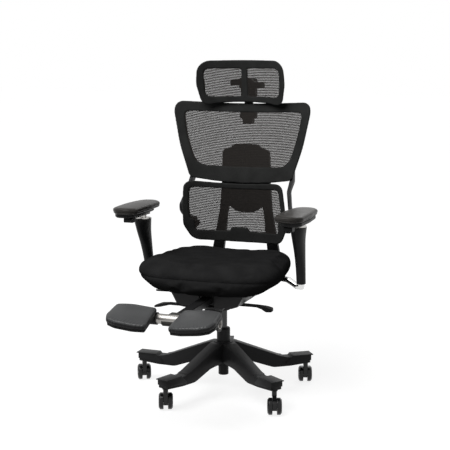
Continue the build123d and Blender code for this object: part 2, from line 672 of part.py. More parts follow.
with BuildPart() as slide_lever:
    with BuildSketch(Plane.XY.offset(slide_lever_top - SLIDE_LEVER_THICKNESS)):
        with BuildLine():
            FilletPolyline((-SLIDE_LEVER_PIVOT_X, SLIDE_LEVER_Y + 7), (-SLIDE_LEVER_PIVOT_X, SLIDE_LEVER_Y - 7),
                           (-196, SLIDE_LEVER_Y - 13), (-206, SLIDE_LEVER_Y - 4), (-206, SLIDE_LEVER_Y + 4),
                           (-190, SLIDE_LEVER_Y + 9), radius=[0, 0, 6, 3, 3, 6], close=True)
        make_face()
        with Locations((-SLIDE_LEVER_PIVOT_X, SLIDE_LEVER_Y)):
            Circle(7)
    extrude(amount=SLIDE_LEVER_THICKNESS)
    with BuildSketch(Plane.XY.offset(slide_lever_top - SLIDE_LEVER_THICKNESS)):
        with Locations((-SLIDE_LEVER_PIVOT_X, SLIDE_LEVER_Y)):
            Circle(LEVER_PIN_RADIUS)
    extrude(amount=SLIDE_LEVER_THICKNESS + SIDE_GAP + PLATE_THICKNESS)
save(slide_lever, "slide_lever")

pan_bottom = plate_top + PAN_GAP
pan_top = pan_bottom + PAN_THICKNESS

with BuildPart() as seat_pan:
    with BuildSketch(Plane.XY.offset(pan_bottom)):
        with Locations((0, (PAN_FRONT + PAN_REAR) / 2)):
            RectangleRounded(2 * PAN_HALF_WIDTH, PAN_REAR - PAN_FRONT, 60)
    extrude(amount=PAN_THICKNESS)
    chamfer(seat_pan.edges().group_by(Axis.Z)[0], 4)
save(seat_pan, "seat_pan")

with BuildPart() as seat_cushion:
    with BuildSketch(Plane.XY.offset(pan_top)):
        with BuildLine():
            # Plan: bowed front edge, sides widest ahead of the middle, rounded corners.
            FilletPolyline((-205, CUSHION_FRONT + 14), (-70, CUSHION_FRONT), (70, CUSHION_FRONT),
                           (205, CUSHION_FRONT + 14), (CUSHION_HALF_WIDTH, -120), (CUSHION_HALF_WIDTH, 40),
                           (226, CUSHION_REAR), (-226, CUSHION_REAR), (-CUSHION_HALF_WIDTH, 40),
                           (-CUSHION_HALF_WIDTH, -120), radius=[62, 400, 400, 62, 160, 300, 60, 60, 300, 160],
                           close=True)
        make_face()
    extrude(amount=CUSHION_TOP - pan_top)
    with BuildSketch(plane_x(0)):
        with BuildLine():
            # Side view: waterfall front edge and a slightly dished top.
            FilletPolyline((CUSHION_FRONT - 1, CUSHION_SEAM_Z + 14), (CUSHION_FRONT + 38, CUSHION_TOP - 4),
                           (-130, CUSHION_TOP), (120, CUSHION_TOP - 8), (CUSHION_REAR + 1, CUSHION_TOP - 6),
                           (CUSHION_REAR + 1, CUSHION_BOTTOM), (CUSHION_FRONT + 34, CUSHION_BOTTOM),
                           (CUSHION_FRONT - 1, CUSHION_SEAM_Z - 12),
                           radius=[24, 40, 300, 300, 26, 6, 20, 20], close=True)
        make_face()
    extrude(amount=CUSHION_HALF_WIDTH + 5, both=True, mode=Mode.INTERSECT)
    with BuildSketch(plane_y(0)):
        with BuildLine():
            # Front view: crowned top, sides drawn in below the seam.
            FilletPolyline((-CUSHION_HALF_WIDTH - 1, CUSHION_SEAM_Z + 20), (-CUSHION_HALF_WIDTH + 22, CUSHION_TOP - 14),
                           (0, CUSHION_TOP + 8), (CUSHION_HALF_WIDTH - 22, CUSHION_TOP - 14),
                           (CUSHION_HALF_WIDTH + 1, CUSHION_SEAM_Z + 20),
                           (CUSHION_HALF_WIDTH - 6, CUSHION_SEAM_Z - 8),
                           (PAN_HALF_WIDTH - 12, CUSHION_BOTTOM), (-PAN_HALF_WIDTH + 12, CUSHION_BOTTOM),
                           (-CUSHION_HALF_WIDTH + 6, CUSHION_SEAM_Z - 8),
                           radius=[20, 36, 1500, 36, 20, 14, 20, 20, 14], close=True)
        make_face()
    extrude(amount=CUSHION_REAR - CUSHION_FRONT, both=True, mode=Mode.INTERSECT)
save(seat_cushion, "seat_cushion")

# ================================================================ footrest
bar_tilt = tan(radians(BAR_SLOPE))


def bar_top(y):
    """Height of the bar's top face at y."""
    return BAR_TOP_REF + bar_tilt * (y - BAR_REF_Y)


def bar_section(rear, front, grow, half_width):
    """Sloping box that follows the bar from rear to front, grown all round by `grow`."""
    with BuildPart() as box:
        with BuildSketch(plane_x(0)):
            with BuildLine():
                Polyline((rear, bar_top(rear) + grow), (front, bar_top(front) + grow),
                         (front, bar_top(front) - BAR_HEIGHT - grow), (rear, bar_top(rear) - BAR_HEIGHT - grow),
                         close=True)
            make_face()
        extrude(amount=half_width + grow, both=True)
    return box.part


with BuildPart() as footrest_rail:
    with BuildSketch(Plane.XY.offset(RAIL_BOTTOM)):
        with Locations((0, (RAIL_FRONT + RAIL_REAR) / 2)):
            Rectangle(2 * RAIL_HALF_WIDTH, RAIL_REAR - RAIL_FRONT)
    extrude(amount=PLATE_BOTTOM - RAIL_BOTTOM)
    add(bar_section(RAIL_REAR + 5, RAIL_FRONT - 5, SIDE_GAP, BAR_WIDTH / 2), mode=Mode.SUBTRACT)
    with BuildSketch(Plane.XY.offset(RAIL_BOTTOM)):
        with Locations((0, (RAIL_FRONT + RAIL_REAR) / 2)):
            Rectangle(2 * RAIL_SLOT_HALF_WIDTH, RAIL_REAR - RAIL_FRONT)
    extrude(amount=BAR_HEIGHT / 2, mode=Mode.SUBTRACT)
save(footrest_rail, "footrest_rail")

with BuildPart() as footrest_bar:
    add(bar_section(BAR_REAR, BAR_FRONT, 0, BAR_WIDTH / 2))
    chamfer(footrest_bar.edges().filter_by(lambda e: e.length > BAR_REAR - BAR_FRONT - 1), 2)
    add(bar_section(BAR_REAR + 5, BAR_FRONT - 5, -BAR_WALL, BAR_WIDTH / 2), mode=Mode.SUBTRACT)
save(footrest_bar, "footrest_bar")

with BuildPart() as footrest_cover:
    with BuildSketch(plane_x(0)):
        with BuildLine():
            # Sleeve round the bar's end that turns under the cross tube as a saddle.
            FilletPolyline((-418, bar_top(-418) + 4), (CROSS_Y + CROSS_RADIUS + 3, bar_top(-474) + 5),
                           (CROSS_Y + CROSS_RADIUS - 1, CROSS_Z), (CROSS_Y - CROSS_RADIUS + 1, CROSS_Z - 1),
                           (CROSS_Y - CROSS_RADIUS - 2, CROSS_Z - 12), (CROSS_Y - 4, CROSS_Z - CROSS_RADIUS - 6),
                           (CROSS_Y + 30, CROSS_Z - CROSS_RADIUS - 7),
                           (-418, bar_top(-418) - BAR_HEIGHT - 4), radius=[3, 6, 0, 0, 8, 12, 8, 3], close=True)
        make_face()
    extrude(amount=COVER_HALF_WIDTH, both=True)
    add(bar_section(BAR_REAR, BAR_FRONT, 0, BAR_WIDTH / 2), mode=Mode.SUBTRACT)
    with BuildSketch(plane_x(0)):
        with Locations((CROSS_Y, CROSS_Z)):
            Circle(CROSS_RADIUS)
    extrude(amount=COVER_HALF_WIDTH + 5, both=True, mode=Mode.SUBTRACT)
save(footrest_cover, "footrest_cover")

with BuildPart() as footrest_cross_tube:
    with BuildSketch(plane_x(0)):
        with Locations((CROSS_Y, CROSS_Z)):
            Circle(CROSS_RADIUS)
            Circle(CROSS_RADIUS - BAR_WALL, mode=Mode.SUBTRACT)
    extrude(amount=CROSS_HALF_LENGTH, both=True)
save(footrest_cross_tube, "footrest_cross_tube")

slope = radians(FOOT_PAD_SLOPE)
cant = radians(FOOT_PAD_CANT)
pad_plane = Plane(origin=(116, -575, 403), x_dir=(cos(cant), 0, sin(cant)),
                  z_dir=(-sin(cant) * cos(slope), -sin(slope), cos(slope) * cos(cant)))
# Plan outline in the pad's own plane: straight inner edge, bowed front edge, cut outer front corner.
foot_pad_outline = [(-68, 60), (-70, -50), (-30, -62), (30, -60), (62, -48), (74, -20), (72, 44), (20, 58)]
foot_pad_radii = [8, 10, 60, 60, 18, 24, 12, 90]

with BuildPart() as foot_pad:
    with BuildSketch(pad_plane):
        with BuildLine():
            FilletPolyline(*foot_pad_outline, radius=foot_pad_radii, close=True)
        make_face()
    extrude(amount=-FOOT_PAD_THICKNESS)
    with BuildSketch(plane_x(FOOT_PAD_INNER - 20)):
        with Locations((CROSS_Y, CROSS_Z)):
            Circle(SLEEVE_RADIUS + SEAT_GAP)
    extrude(amount=200, mode=Mode.SUBTRACT)
save_pair(foot_pad, "footrest_pad")

with BuildPart() as foot_shell:
    with BuildSketch(pad_plane.offset(-FOOT_PAD_THICKNESS)):
        with BuildLine():
            FilletPolyline(*foot_pad_outline, radius=foot_pad_radii, close=True)
        make_face()
        offset(amount=-4, kind=Kind.INTERSECTION, mode=Mode.REPLACE)
    extrude(amount=-FOOT_SHELL_THICKNESS)
    with BuildSketch(plane_x(FOOT_PAD_INNER + 2)):
        with Locations((CROSS_Y, CROSS_Z)):
            Circle(SLEEVE_RADIUS)
    extrude(amount=CROSS_HALF_LENGTH - FOOT_PAD_INNER - 6)
    with BuildSketch(plane_x(FOOT_PAD_INNER - 20)):
        with Locations((CROSS_Y, CROSS_Z)):
            Circle(CROSS_RADIUS + RUN_GAP)
    extrude(amount=CROSS_HALF_LENGTH, mode=Mode.SUBTRACT)
save_pair(foot_shell, "footrest_shell")

# ================================================================ armrests (modelled on the +X side)
arm_axis = Vector(0, -sin(radians(ARM_LEAN)), cos(radians(ARM_LEAN)))


def post_y(z):
    """Depth of the inclined upright's axis at height z."""
    return ARM_Y - tan(radians(ARM_LEAN)) * (z - SLEEVE_BOTTOM)


def upright(bottom, top, grow):
    """Inclined square bar of the arm bracket between two heights, grown sideways by `grow`."""
    with BuildPart() as bar:
        with BuildSketch(Plane.XY.offset(bottom)):
            with Locations((ARM_X, post_y(bottom))):
                RectangleRounded(UPRIGHT_X + 2 * grow, UPRIGHT_Y + 2 * grow, 5)
        extrude(amount=(top - bottom) / arm_axis.Z, dir=arm_axis)
    return bar.part


with BuildPart() as arm_bracket:
    with BuildSketch(plane_y(BRACKET_Y)):
        with BuildLine():
            FilletPolyline((112, PLATE_BOTTOM), (226, PLATE_BOTTOM), (246, PLATE_BOTTOM + 9), (262, PLATE_BOTTOM + 9),
                           (ARM_X + 11, UPRIGHT_BOTTOM + 13), (ARM_X + 11, UPRIGHT_BOTTOM),
                           (ARM_X - 10, UPRIGHT_BOTTOM), (256, PLATE_BOTTOM - 3),
                           (238, PLATE_BOTTOM - 3), (203, PLATE_BOTTOM - BRACKET_HEIGHT),
                           (112, PLATE_BOTTOM - BRACKET_HEIGHT),
                           radius=[0, 10, 8, 20, 6, 4, 12, 12, 16, 18, 0], close=True)
        make_face()
    extrude(amount=70, both=True)
    # Plan: the arm runs forward from its root to the upright.
    with BuildSketch(Plane.XY.offset(UPRIGHT_BOTTOM - 30)):
        with BuildLine():
            half = BRACKET_WIDTH / 2
            FilletPolyline((112, BRACKET_Y - half), (200, BRACKET_Y - half), (ARM_X - 20, ARM_Y - 8),
                           (ARM_X + 8, ARM_Y - 14), (ARM_X + 11, ARM_Y + 8), (ARM_X - 12, ARM_Y + 22),
                           (215, BRACKET_Y + half), (112, BRACKET_Y + half),
                           radius=[0, 50, 20, 8, 10, 16, 40, 0], close=True)
        make_face()
    extrude(amount=80, mode=Mode.INTERSECT)
    add(upright(UPRIGHT_BOTTOM + 6, UPRIGHT_TOP, 0))
save_pair(arm_bracket, "arm_bracket")

sleeve_sections = [  # height, width in X, length in Y, centre in Y
    (SLEEVE_BOTTOM, 33.0, 40.0, ARM_Y - 1),
    (520.0, 37.0, 46.0, -13.0),
    (590.0, 41.0, 56.0, -28.0),
    (622.0, 50.0, 68.0, -40.0),
    (SLEEVE_TOP, 58.0, 78.0, ARM_TOP_Y),
]
with BuildPart() as arm_sleeve:
    for z, width, length, centre in sleeve_sections:
        with BuildSketch(Plane.XY.offset(z)):
            with Locations((ARM_X + (z - SLEEVE_BOTTOM) * 0.018, centre)):
                Ellipse(width / 2, length / 2)
    loft()
    add(upright(SLEEVE_BOTTOM - 5, UPRIGHT_TOP + 4, SIDE_GAP), mode=Mode.SUBTRACT)
    with BuildSketch(Plane.XY.offset(SLEEVE_TOP - SWIVEL_PIN_DEPTH)):
        with Locations((SWIVEL_X, ARM_TOP_Y)):
            Circle(SWIVEL_PIN_RADIUS + RUN_GAP)
    extrude(amount=SWIVEL_PIN_DEPTH, mode=Mode.SUBTRACT)
save_pair(arm_sleeve, "arm_sleeve")

swivel_bottom = SLEEVE_TOP + SIDE_GAP
bar_bottom = PAD_BASE_BOTTOM - SIDE_GAP - CARRIER_BAR
pad_base_slot = PAD_BASE_BOTTOM + RAIL_T_NECK

with BuildPart() as arm_swivel_plate:
    with BuildSketch(Plane.XY.offset(swivel_bottom)):
        with Locations((SWIVEL_X, ARM_TOP_Y)):
            Circle(SWIVEL_PLATE_RADIUS)
    extrude(amount=SWIVEL_PLATE)
    with BuildSketch(Plane.XY.offset(swivel_bottom - SWIVEL_PIN_DEPTH + 2)):
        with Locations((SWIVEL_X, ARM_TOP_Y)):
            Circle(SWIVEL_PIN_RADIUS)
    extrude(amount=SWIVEL_PIN_DEPTH)
    with BuildSketch(Plane.XY.offset(swivel_bottom)):
        with Locations((SWIVEL_X, ARM_TOP_Y)):
            Circle(SWIVEL_NECK_RADIUS)
    extrude(amount=bar_bottom + 1 - swivel_bottom)
    # Bar that carries the pad's slide rail, with a fork for the release lever at its front.
    with BuildSketch(Plane.XY.offset(bar_bottom)):
        with Locations((SWIVEL_X, (CARRIER_BAR_FRONT + CARRIER_BAR_REAR) / 2)):
            Rectangle(2 * CARRIER_BAR_HALF, CARRIER_BAR_REAR - CARRIER_BAR_FRONT)
    extrude(amount=CARRIER_BAR)
    for half_width, low, high in ((RAIL_T_NECK_HALF, PAD_BASE_BOTTOM - SIDE_GAP, pad_base_slot),
                                  (RAIL_T_HALF_WIDTH, pad_base_slot, pad_base_slot + RAIL_T_HEAD)):
        with BuildSketch(Plane.XY.offset(low)):
            with Locations((SWIVEL_X, PAD_Y)):
                Rectangle(2 * half_width, RAIL_T_LENGTH)
        extrude(amount=high - low)
    with BuildSketch(plane_x(SWIVEL_X - CARRIER_BAR_HALF)):
        with Locations((RELEASE_PIVOT_Y, bar_bottom + CARRIER_BAR / 2)):
            Circle(CARRIER_BAR / 2)
    extrude(amount=2 * CARRIER_BAR_HALF)
    with BuildSketch(plane_x(SWIVEL_X - RELEASE_KNUCKLE_HALF - SIDE_GAP)):
        with Locations((RELEASE_PIVOT_Y, bar_bottom + CARRIER_BAR / 2)):
            Rectangle(CARRIER_BAR + 3, CARRIER_BAR + 1)
    extrude(amount=2 * (RELEASE_KNUCKLE_HALF + SIDE_GAP), mode=Mode.SUBTRACT)
    with BuildSketch(plane_x(SWIVEL_X)):
        with Locations((RELEASE_PIVOT_Y, bar_bottom + CARRIER_BAR / 2)):
            Circle(RELEASE_PIN_RADIUS)
    extrude(amount=CARRIER_BAR_HALF, both=True)
save_pair(arm_swivel_plate, "arm_swivel_plate")

with BuildPart() as arm_release:
    with BuildSketch(plane_x(SWIVEL_X)):
        with BuildLine():
            FilletPolyline((RELEASE_PIVOT_Y - 5, bar_bottom + 5), (RELEASE_PIVOT_Y - RELEASE_LENGTH, bar_bottom + 4),
                           (RELEASE_PIVOT_Y - RELEASE_LENGTH, bar_bottom - RELEASE_DROP),
                           (RELEASE_PIVOT_Y - 8, bar_bottom - RELEASE_DROP), (RELEASE_PIVOT_Y - 5, bar_bottom - 2),
                           radius=[0, 5, 7, 6, 0], close=True)
        make_face()
    extrude(amount=RELEASE_WIDTH / 2, both=True)
    with BuildSketch(plane_x(SWIVEL_X)):
        with Locations((RELEASE_PIVOT_Y - 3, bar_bottom + CARRIER_BAR / 2)):
            Rectangle(6, CARRIER_BAR - 2)
        with Locations((RELEASE_PIVOT_Y, bar_bottom + CARRIER_BAR / 2)):
            Circle(CARRIER_BAR / 2 - 1)
    extrude(amount=RELEASE_KNUCKLE_HALF, both=True)
    with BuildSketch(plane_x(SWIVEL_X)):
        with Locations((RELEASE_PIVOT_Y, bar_bottom + CARRIER_BAR / 2)):
            Circle(RELEASE_PIN_RADIUS + RUN_GAP)
    extrude(amount=CARRIER_BAR_HALF, both=True, mode=Mode.SUBTRACT)
save_pair(arm_release, "arm_release")

half_long = PAD_LENGTH / 2
half_wide = PAD_WIDTH / 2
arm_pad_outline = [(-half_wide + 4, -half_long + 22), (-20, -half_long), (26, -half_long),
                   (half_wide - 2, -half_long + 34), (half_wide, 10), (half_wide - 8, half_long - 20),
                   (24, half_long), (-18, half_long), (-half_wide + 10, half_long - 24), (-half_wide, 0)]
arm_pad_radii = [26, 40, 40, 36, 400, 34, 30, 30, 34, 400]

with BuildPart() as arm_pad_base:
    with BuildSketch(Plane((PAD_X, PAD_Y, PAD_BASE_BOTTOM))):
        with BuildLine():
            FilletPolyline(*arm_pad_outline, radius=arm_pad_radii, close=True)
        make_face()
        offset(amount=-PAD_BASE_INSET, kind=Kind.INTERSECTION, mode=Mode.REPLACE)
    extrude(amount=PAD_BASE_TOP - PAD_BASE_BOTTOM)
    chamfer(arm_pad_base.faces().sort_by(Axis.Z)[0].edges(), 3)
    slot_length = RAIL_T_LENGTH + 2 * PAD_TRAVEL + 2
    for half_width, low, high in ((RAIL_T_NECK_HALF, PAD_BASE_BOTTOM, pad_base_slot),
                                  (RAIL_T_HALF_WIDTH, pad_base_slot - SIDE_GAP, pad_base_slot + RAIL_T_HEAD + SIDE_GAP)):
        with BuildSketch(Plane.XY.offset(low)):
            with Locations((SWIVEL_X, PAD_Y)):
                Rectangle(2 * half_width + 2 * SIDE_GAP, slot_length)
        extrude(amount=high - low, mode=Mode.SUBTRACT)
save_pair(arm_pad_base, "arm_pad_base")

with BuildPart() as arm_pad:
    with BuildSketch(Plane((PAD_X, PAD_Y, PAD_BASE_TOP))):
        with BuildLine():
            FilletPolyline(*arm_pad_outline, radius=arm_pad_radii, close=True)
        make_face()
    extrude(amount=PAD_THICKNESS)
    fillet(arm_pad.faces().sort_by(Axis.Z)[-1].edges(), 9)
save_pair(arm_pad, "arm_pad")

# ================================================================ back
strut_back = STRUT_FRONT + STRUT_THICKNESS
strut_middle = STRUT_FRONT + STRUT_THICKNESS / 2


def mirrored(points):
    """Closed outline from its +X half, listed from the bottom centre to the top centre."""
    return points + [(-x, z) for x, z in reversed(points) if x > 0]


def mirrored_radii(points, radii):
    """Corner radii to match `mirrored`."""
    return radii + [r for (x, z), r in reversed(list(zip(points, radii))) if x > 0]


def outline_face(points, radii):
    """Face within a mirrored outline."""
    with BuildSketch() as face:
        with BuildLine():
            FilletPolyline(*mirrored(points), radius=mirrored_radii(points, radii), close=True)
        make_face()
    return face.sketch


with BuildPart() as back_yoke:
    for side in (-1, 1):
        with BuildSketch(plane_x(side * (YOKE_INNER_X + YOKE_ARM / 2))):
            with Locations((RECLINE_Y, RECLINE_Z)):
                Circle(RECLINE_PIN_RADIUS + EYE_WALL)
            with BuildLine():
                Polyline((RECLINE_Y, RECLINE_Z + 14), (YOKE_BEAM_FRONT + 4, YOKE_BEAM_TOP),
                         (YOKE_BEAM_FRONT + 4, YOKE_BEAM_BOTTOM), (RECLINE_Y, RECLINE_Z - 14), close=True)
            make_face()
            with Locations((RECLINE_Y, RECLINE_Z)):
                Circle(RECLINE_PIN_RADIUS + RUN_GAP, mode=Mode.SUBTRACT)
        extrude(amount=YOKE_ARM / 2, both=True)
    with BuildSketch(plane_x(0)):
        with BuildLine():
            FilletPolyline((YOKE_BEAM_FRONT, YOKE_BEAM_BOTTOM), (strut_back, YOKE_BEAM_BOTTOM),
                           (strut_back, YOKE_BEAM_TOP), (YOKE_BEAM_FRONT, YOKE_BEAM_TOP),
                           radius=[4, 22, 0, 4], close=True)
        make_face()
    extrude(amount=STRUT_FOOT_OUT, both=True)
    for side in (-1, 1):
        with BuildSketch(plane_x(side * (STRUT_FOOT_IN + STRUT_FOOT_OUT) / 2)):
            with BuildLine():
                FilletPolyline((STRUT_FRONT - 22, YOKE_BEAM_TOP), (STRUT_FRONT, YOKE_BEAM_TOP + 30),
                               (STRUT_FRONT, STRUT_FOOT_Z), (strut_back, STRUT_FOOT_Z), (strut_back, YOKE_BEAM_TOP),
                               radius=[0, 30, 0, 0, 0], close=True)
            make_face()
        extrude(amount=(STRUT_FOOT_OUT - STRUT_FOOT_IN) / 2, both=True)
        with BuildSketch(Plane.XY.offset(STRUT_FOOT_Z)):
            with Locations((side * (STRUT_FOOT_IN + STRUT_FOOT_OUT) / 2, strut_middle)):
                Rectangle(TONGUE_WIDTH, TONGUE_THICKNESS)
        extrude(amount=TONGUE_LENGTH)
save(back_yoke, "back_yoke")

with BuildPart() as back_spine:
    with BuildSketch(plane_y(strut_back)):
        with BuildLine():
            spine_half = [(STRUT_FOOT_OUT, STRUT_FOOT_Z), (106, 643), (98, 743), (97, 818), (94, 878), (62, 889),
                          (46, 901), (0, 903)]
            spine_radii = [0, 300, 200, 0, 16, 10, 12, 0]
            FilletPolyline((STRUT_FOOT_IN, STRUT_FOOT_Z), *spine_half,
                           *[(-x, z) for x, z in reversed(spine_half) if x > 0], (-STRUT_FOOT_IN, STRUT_FOOT_Z),
                           (-74, 640), (-69, 664), (-40, 642), (0, 636), (40, 642), (69, 664), (74, 640),
                           radius=[0] + spine_radii + spine_radii[-2::-1] + [0, 0, 3, 30, 120, 30, 3, 0], close=True)
        make_face()
    extrude(amount=STRUT_THICKNESS)
    # Slots that take the yoke's tongues.
    with BuildSketch(Plane.XY.offset(STRUT_FOOT_Z)):
        with Locations((-(STRUT_FOOT_IN + STRUT_FOOT_OUT) / 2, strut_middle),
                       ((STRUT_FOOT_IN + STRUT_FOOT_OUT) / 2, strut_middle)):
            Rectangle(TONGUE_WIDTH + 2 * SEAT_GAP, TONGUE_THICKNESS + 2 * SEAT_GAP)
    extrude(amount=TONGUE_LENGTH + 1, mode=Mode.SUBTRACT)
    # T-groove in the front face, in which the back's height slider runs.
    for half_width, depth, start in ((GROOVE_NECK, GROOVE_NECK_DEPTH, 0),
                                     (GROOVE_HEAD, GROOVE_HEAD_DEPTH, GROOVE_NECK_DEPTH)):
        with BuildSketch(plane_y(STRUT_FRONT + start)):
            with Locations((0, (GROOVE_LOW + GROOVE_HIGH) / 2)):
                Rectangle(2 * half_width, GROOVE_HIGH - GROOVE_LOW)
        extrude(amount=-depth, mode=Mode.SUBTRACT)
save(back_spine, "back_spine")

# ---------------------------------------------------------------- upper back
upper_outline = [(0, 751), (207, 787), (246, 898), (271, 1022), (268, 1060), (0, 1047)]
upper_outline_radii = [1000, 26, 500, 60, 26, 3000]
upper_window = [(0, 815), (176, 822), (213, 925), (231, 1027), (0, 1020)]
upper_window_radii = [2000, 42, 500, 16, 3000]


def curved_frame(outline, outline_radii, window, window_radii, slab):
    """Moulded frame: outline less window, cut from a curved slab."""
    with BuildPart() as frame:
        with BuildSketch(plane_y(400)):
            add(outline_face(outline, outline_radii))
        extrude(amount=500)
        with BuildSketch(plane_y(400)):
            add(outline_face(window, window_radii))
        extrude(amount=500, mode=Mode.SUBTRACT)
        add(slab, mode=Mode.INTERSECT)
    return frame


def mesh_panel(outline, outline_radii, slab):
    """Stretched mesh with its fabric border, lying on the front of its frame."""
    with BuildPart() as panel:
        with BuildSketch(plane_y(400)):
            add(outline_face(outline, outline_radii))
        extrude(amount=500)
        add(slab, mode=Mode.INTERSECT)
    return panel


upper_shape = (UPPER_RADIUS, UPPER_FRONT, UPPER_BASE, UPPER_LEAN, 1070)
upper_slab = curved_slab(*upper_shape, MESH_THICKNESS, UPPER_THICKNESS - MESH_THICKNESS, 300)
upper_back_frame = curved_frame(upper_outline, upper_outline_radii, upper_window, upper_window_radii, upper_slab)
save(upper_back_frame, "upper_back_frame")
upper_back_mesh = mesh_panel(upper_outline, upper_outline_radii, curved_slab(*upper_shape, 0, MESH_THICKNESS, 300))
save(upper_back_mesh, "upper_back_mesh")

# Everything in front of the upper back's rear face, used to seat what bolts on behind it.
upper_front_space = curved_slab(*upper_shape, -60, 60 + UPPER_THICKNESS, 300)

with BuildPart() as back_slider:
    with BuildSketch(plane_y(STRUT_FRONT - SIDE_GAP)):
        with Locations((0, (SLIDER_LOW + SLIDER_HIGH) / 2)):
            RectangleRounded(2 * SLIDER_HALF_WIDTH, SLIDER_HIGH - SLIDER_LOW, 8)
    extrude(amount=30)
    add(upper_front_space, mode=Mode.SUBTRACT)
    for half_width, start, end in ((GROOVE_NECK, -SIDE_GAP, GROOVE_NECK_DEPTH + SIDE_GAP),
                                   (GROOVE_HEAD, GROOVE_NECK_DEPTH + SIDE_GAP,
                                    GROOVE_NECK_DEPTH + GROOVE_HEAD_DEPTH - SIDE_GAP)):
        with BuildSketch(plane_y(STRUT_FRONT + start)):
            with Locations((0, (SLIDER_LOW + SLIDER_HIGH) / 2)):
                Rectangle(2 * (half_width - SIDE_GAP), SLIDER_HIGH - SLIDER_LOW - 12)
        extrude(amount=start - end)
save(back_slider, "back_slider")

with BuildPart() as side_arm:
    with BuildSketch(plane_y(300)):
        with BuildLine():
            # Front view: thin blade that turns inward to the lumbar block.
            FilletPolyline((SIDE_ARM_IN - 6, 818), (SIDE_ARM_OUT - 6, 818), (SIDE_ARM_OUT, 745), (SIDE_ARM_OUT + 4, 690),
                           (SIDE_ARM_OUT - 2, 640), (205, 612), (205, LUMBAR_PIVOT_Z - 22),
                           (LUMBAR_BLOCK_IN, LUMBAR_PIVOT_Z - 22), (LUMBAR_BLOCK_IN, LUMBAR_PIVOT_Z + 22),
                           (196, LUMBAR_PIVOT_Z + 26), (SIDE_ARM_IN, 655), (SIDE_ARM_IN + 2, 700), (SIDE_ARM_IN, 745),
                           radius=[3, 3, 60, 60, 30, 12, 6, 4, 4, 14, 40, 60, 60], close=True)
        make_face()
    extrude(amount=250)
    with BuildSketch(plane_x(150)):
        with BuildLine():
            # Side view: the blade swings forward below the upper back and returns to the lumbar pivot.
            FilletPolyline((209, 818), (209, 786), (144, 738), (119, 700), (126, 648), (LUMBAR_BLOCK_FRONT, 620),
                           (LUMBAR_BLOCK_FRONT, LUMBAR_PIVOT_Z - 22), (LUMBAR_BLOCK_FRONT + 26, LUMBAR_PIVOT_Z - 22),
                           (LUMBAR_BLOCK_FRONT + 26, LUMBAR_PIVOT_Z + 26), (152, 660), (150, 700), (174, 728),
                           (234, 776), (234, 818),
                           radius=[3, 16, 40, 50, 40, 16, 6, 6, 30, 40, 40, 40, 16, 3], close=True)
        make_face()
    extrude(amount=100, mode=Mode.INTERSECT)
    add(upper_front_space, mode=Mode.SUBTRACT)
    with BuildSketch(plane_x(LUMBAR_BLOCK_IN)):
        with Locations((LUMBAR_PIVOT_Y, LUMBAR_PIVOT_Z)):
            Circle(LUMBAR_PIN_RADIUS + RUN_GAP)
    extrude(amount=LUMBAR_PIN_LENGTH + 1, mode=Mode.SUBTRACT)
save_pair(side_arm, "side_arm")

# ---------------------------------------------------------------- lumbar support
lumbar_outline = [(0, 526), (178, 538), (207, 600), (202, 680), (192, 768), (150, 767), (0, 752)]
lumbar_outline_radii = [2000, 44, 60, 200, 30, 200, 1200]
# The window's lower corners are stepped in beside the rocking pivots.
lumbar_window = [(0, 590), (30, 590), (40, 574), (LUMBAR_LUG_IN, 577), (LUMBAR_LUG_IN, LUMBAR_PIVOT_Z + 20),
                 (181, LUMBAR_PIVOT_Z + 24), (183, 665), (176, 744), (0, 734)]
lumbar_window_radii = [0, 6, 6, 8, 4, 6, 200, 14, 2000]
lumbar_shape = (LUMBAR_RADIUS, LUMBAR_FRONT, LUMBAR_BASE, LUMBAR_LEAN, 775)
lumbar_slab = curved_slab(*lumbar_shape, MESH_THICKNESS, LUMBAR_THICKNESS - MESH_THICKNESS, 225)
lumbar_ring = curved_frame(lumbar_outline, lumbar_outline_radii, lumbar_window, lumbar_window_radii, lumbar_slab)
lumbar_front_space = curved_slab(*lumbar_shape, -60, 60 + MESH_THICKNESS + 6, 225)

with BuildPart() as lumbar_lug:
    with BuildSketch(plane_x(LUMBAR_LUG_IN)):
        with BuildLine():
            FilletPolyline((LUMBAR_PIVOT_Y - 40, LUMBAR_PIVOT_Z - 12), (LUMBAR_PIVOT_Y + 11, LUMBAR_PIVOT_Z - 12),
                           (LUMBAR_PIVOT_Y + 11, LUMBAR_PIVOT_Z + 12), (LUMBAR_PIVOT_Y - 40, LUMBAR_PIVOT_Z + 12),
                           radius=[0, 8, 8, 0], close=True)
        make_face()
    extrude(amount=LUMBAR_BLOCK_IN - SIDE_GAP - LUMBAR_LUG_IN)
    add(lumbar_front_space, mode=Mode.SUBTRACT)
    with BuildSketch(plane_x(LUMBAR_LUG_IN)):
        with Locations((LUMBAR_PIVOT_Y, LUMBAR_PIVOT_Z)):
            Circle(LUMBAR_PIN_RADIUS)
    extrude(amount=LUMBAR_BLOCK_IN + LUMBAR_PIN_LENGTH - LUMBAR_LUG_IN)

with BuildPart() as lumbar_frame:
    add(lumbar_ring.part)
    # Lugs and pins on which the lumbar frame rocks between the side arms.
    add(lumbar_lug.part)
    mirror(lumbar_lug.part, about=Plane.YZ)
save(lumbar_frame, "lumbar_frame")
lumbar_mesh = mesh_panel(lumbar_outline, lumbar_outline_radii, curved_slab(*lumbar_shape, 0, MESH_THICKNESS, 225))
save(lumbar_mesh, "lumbar_mesh")

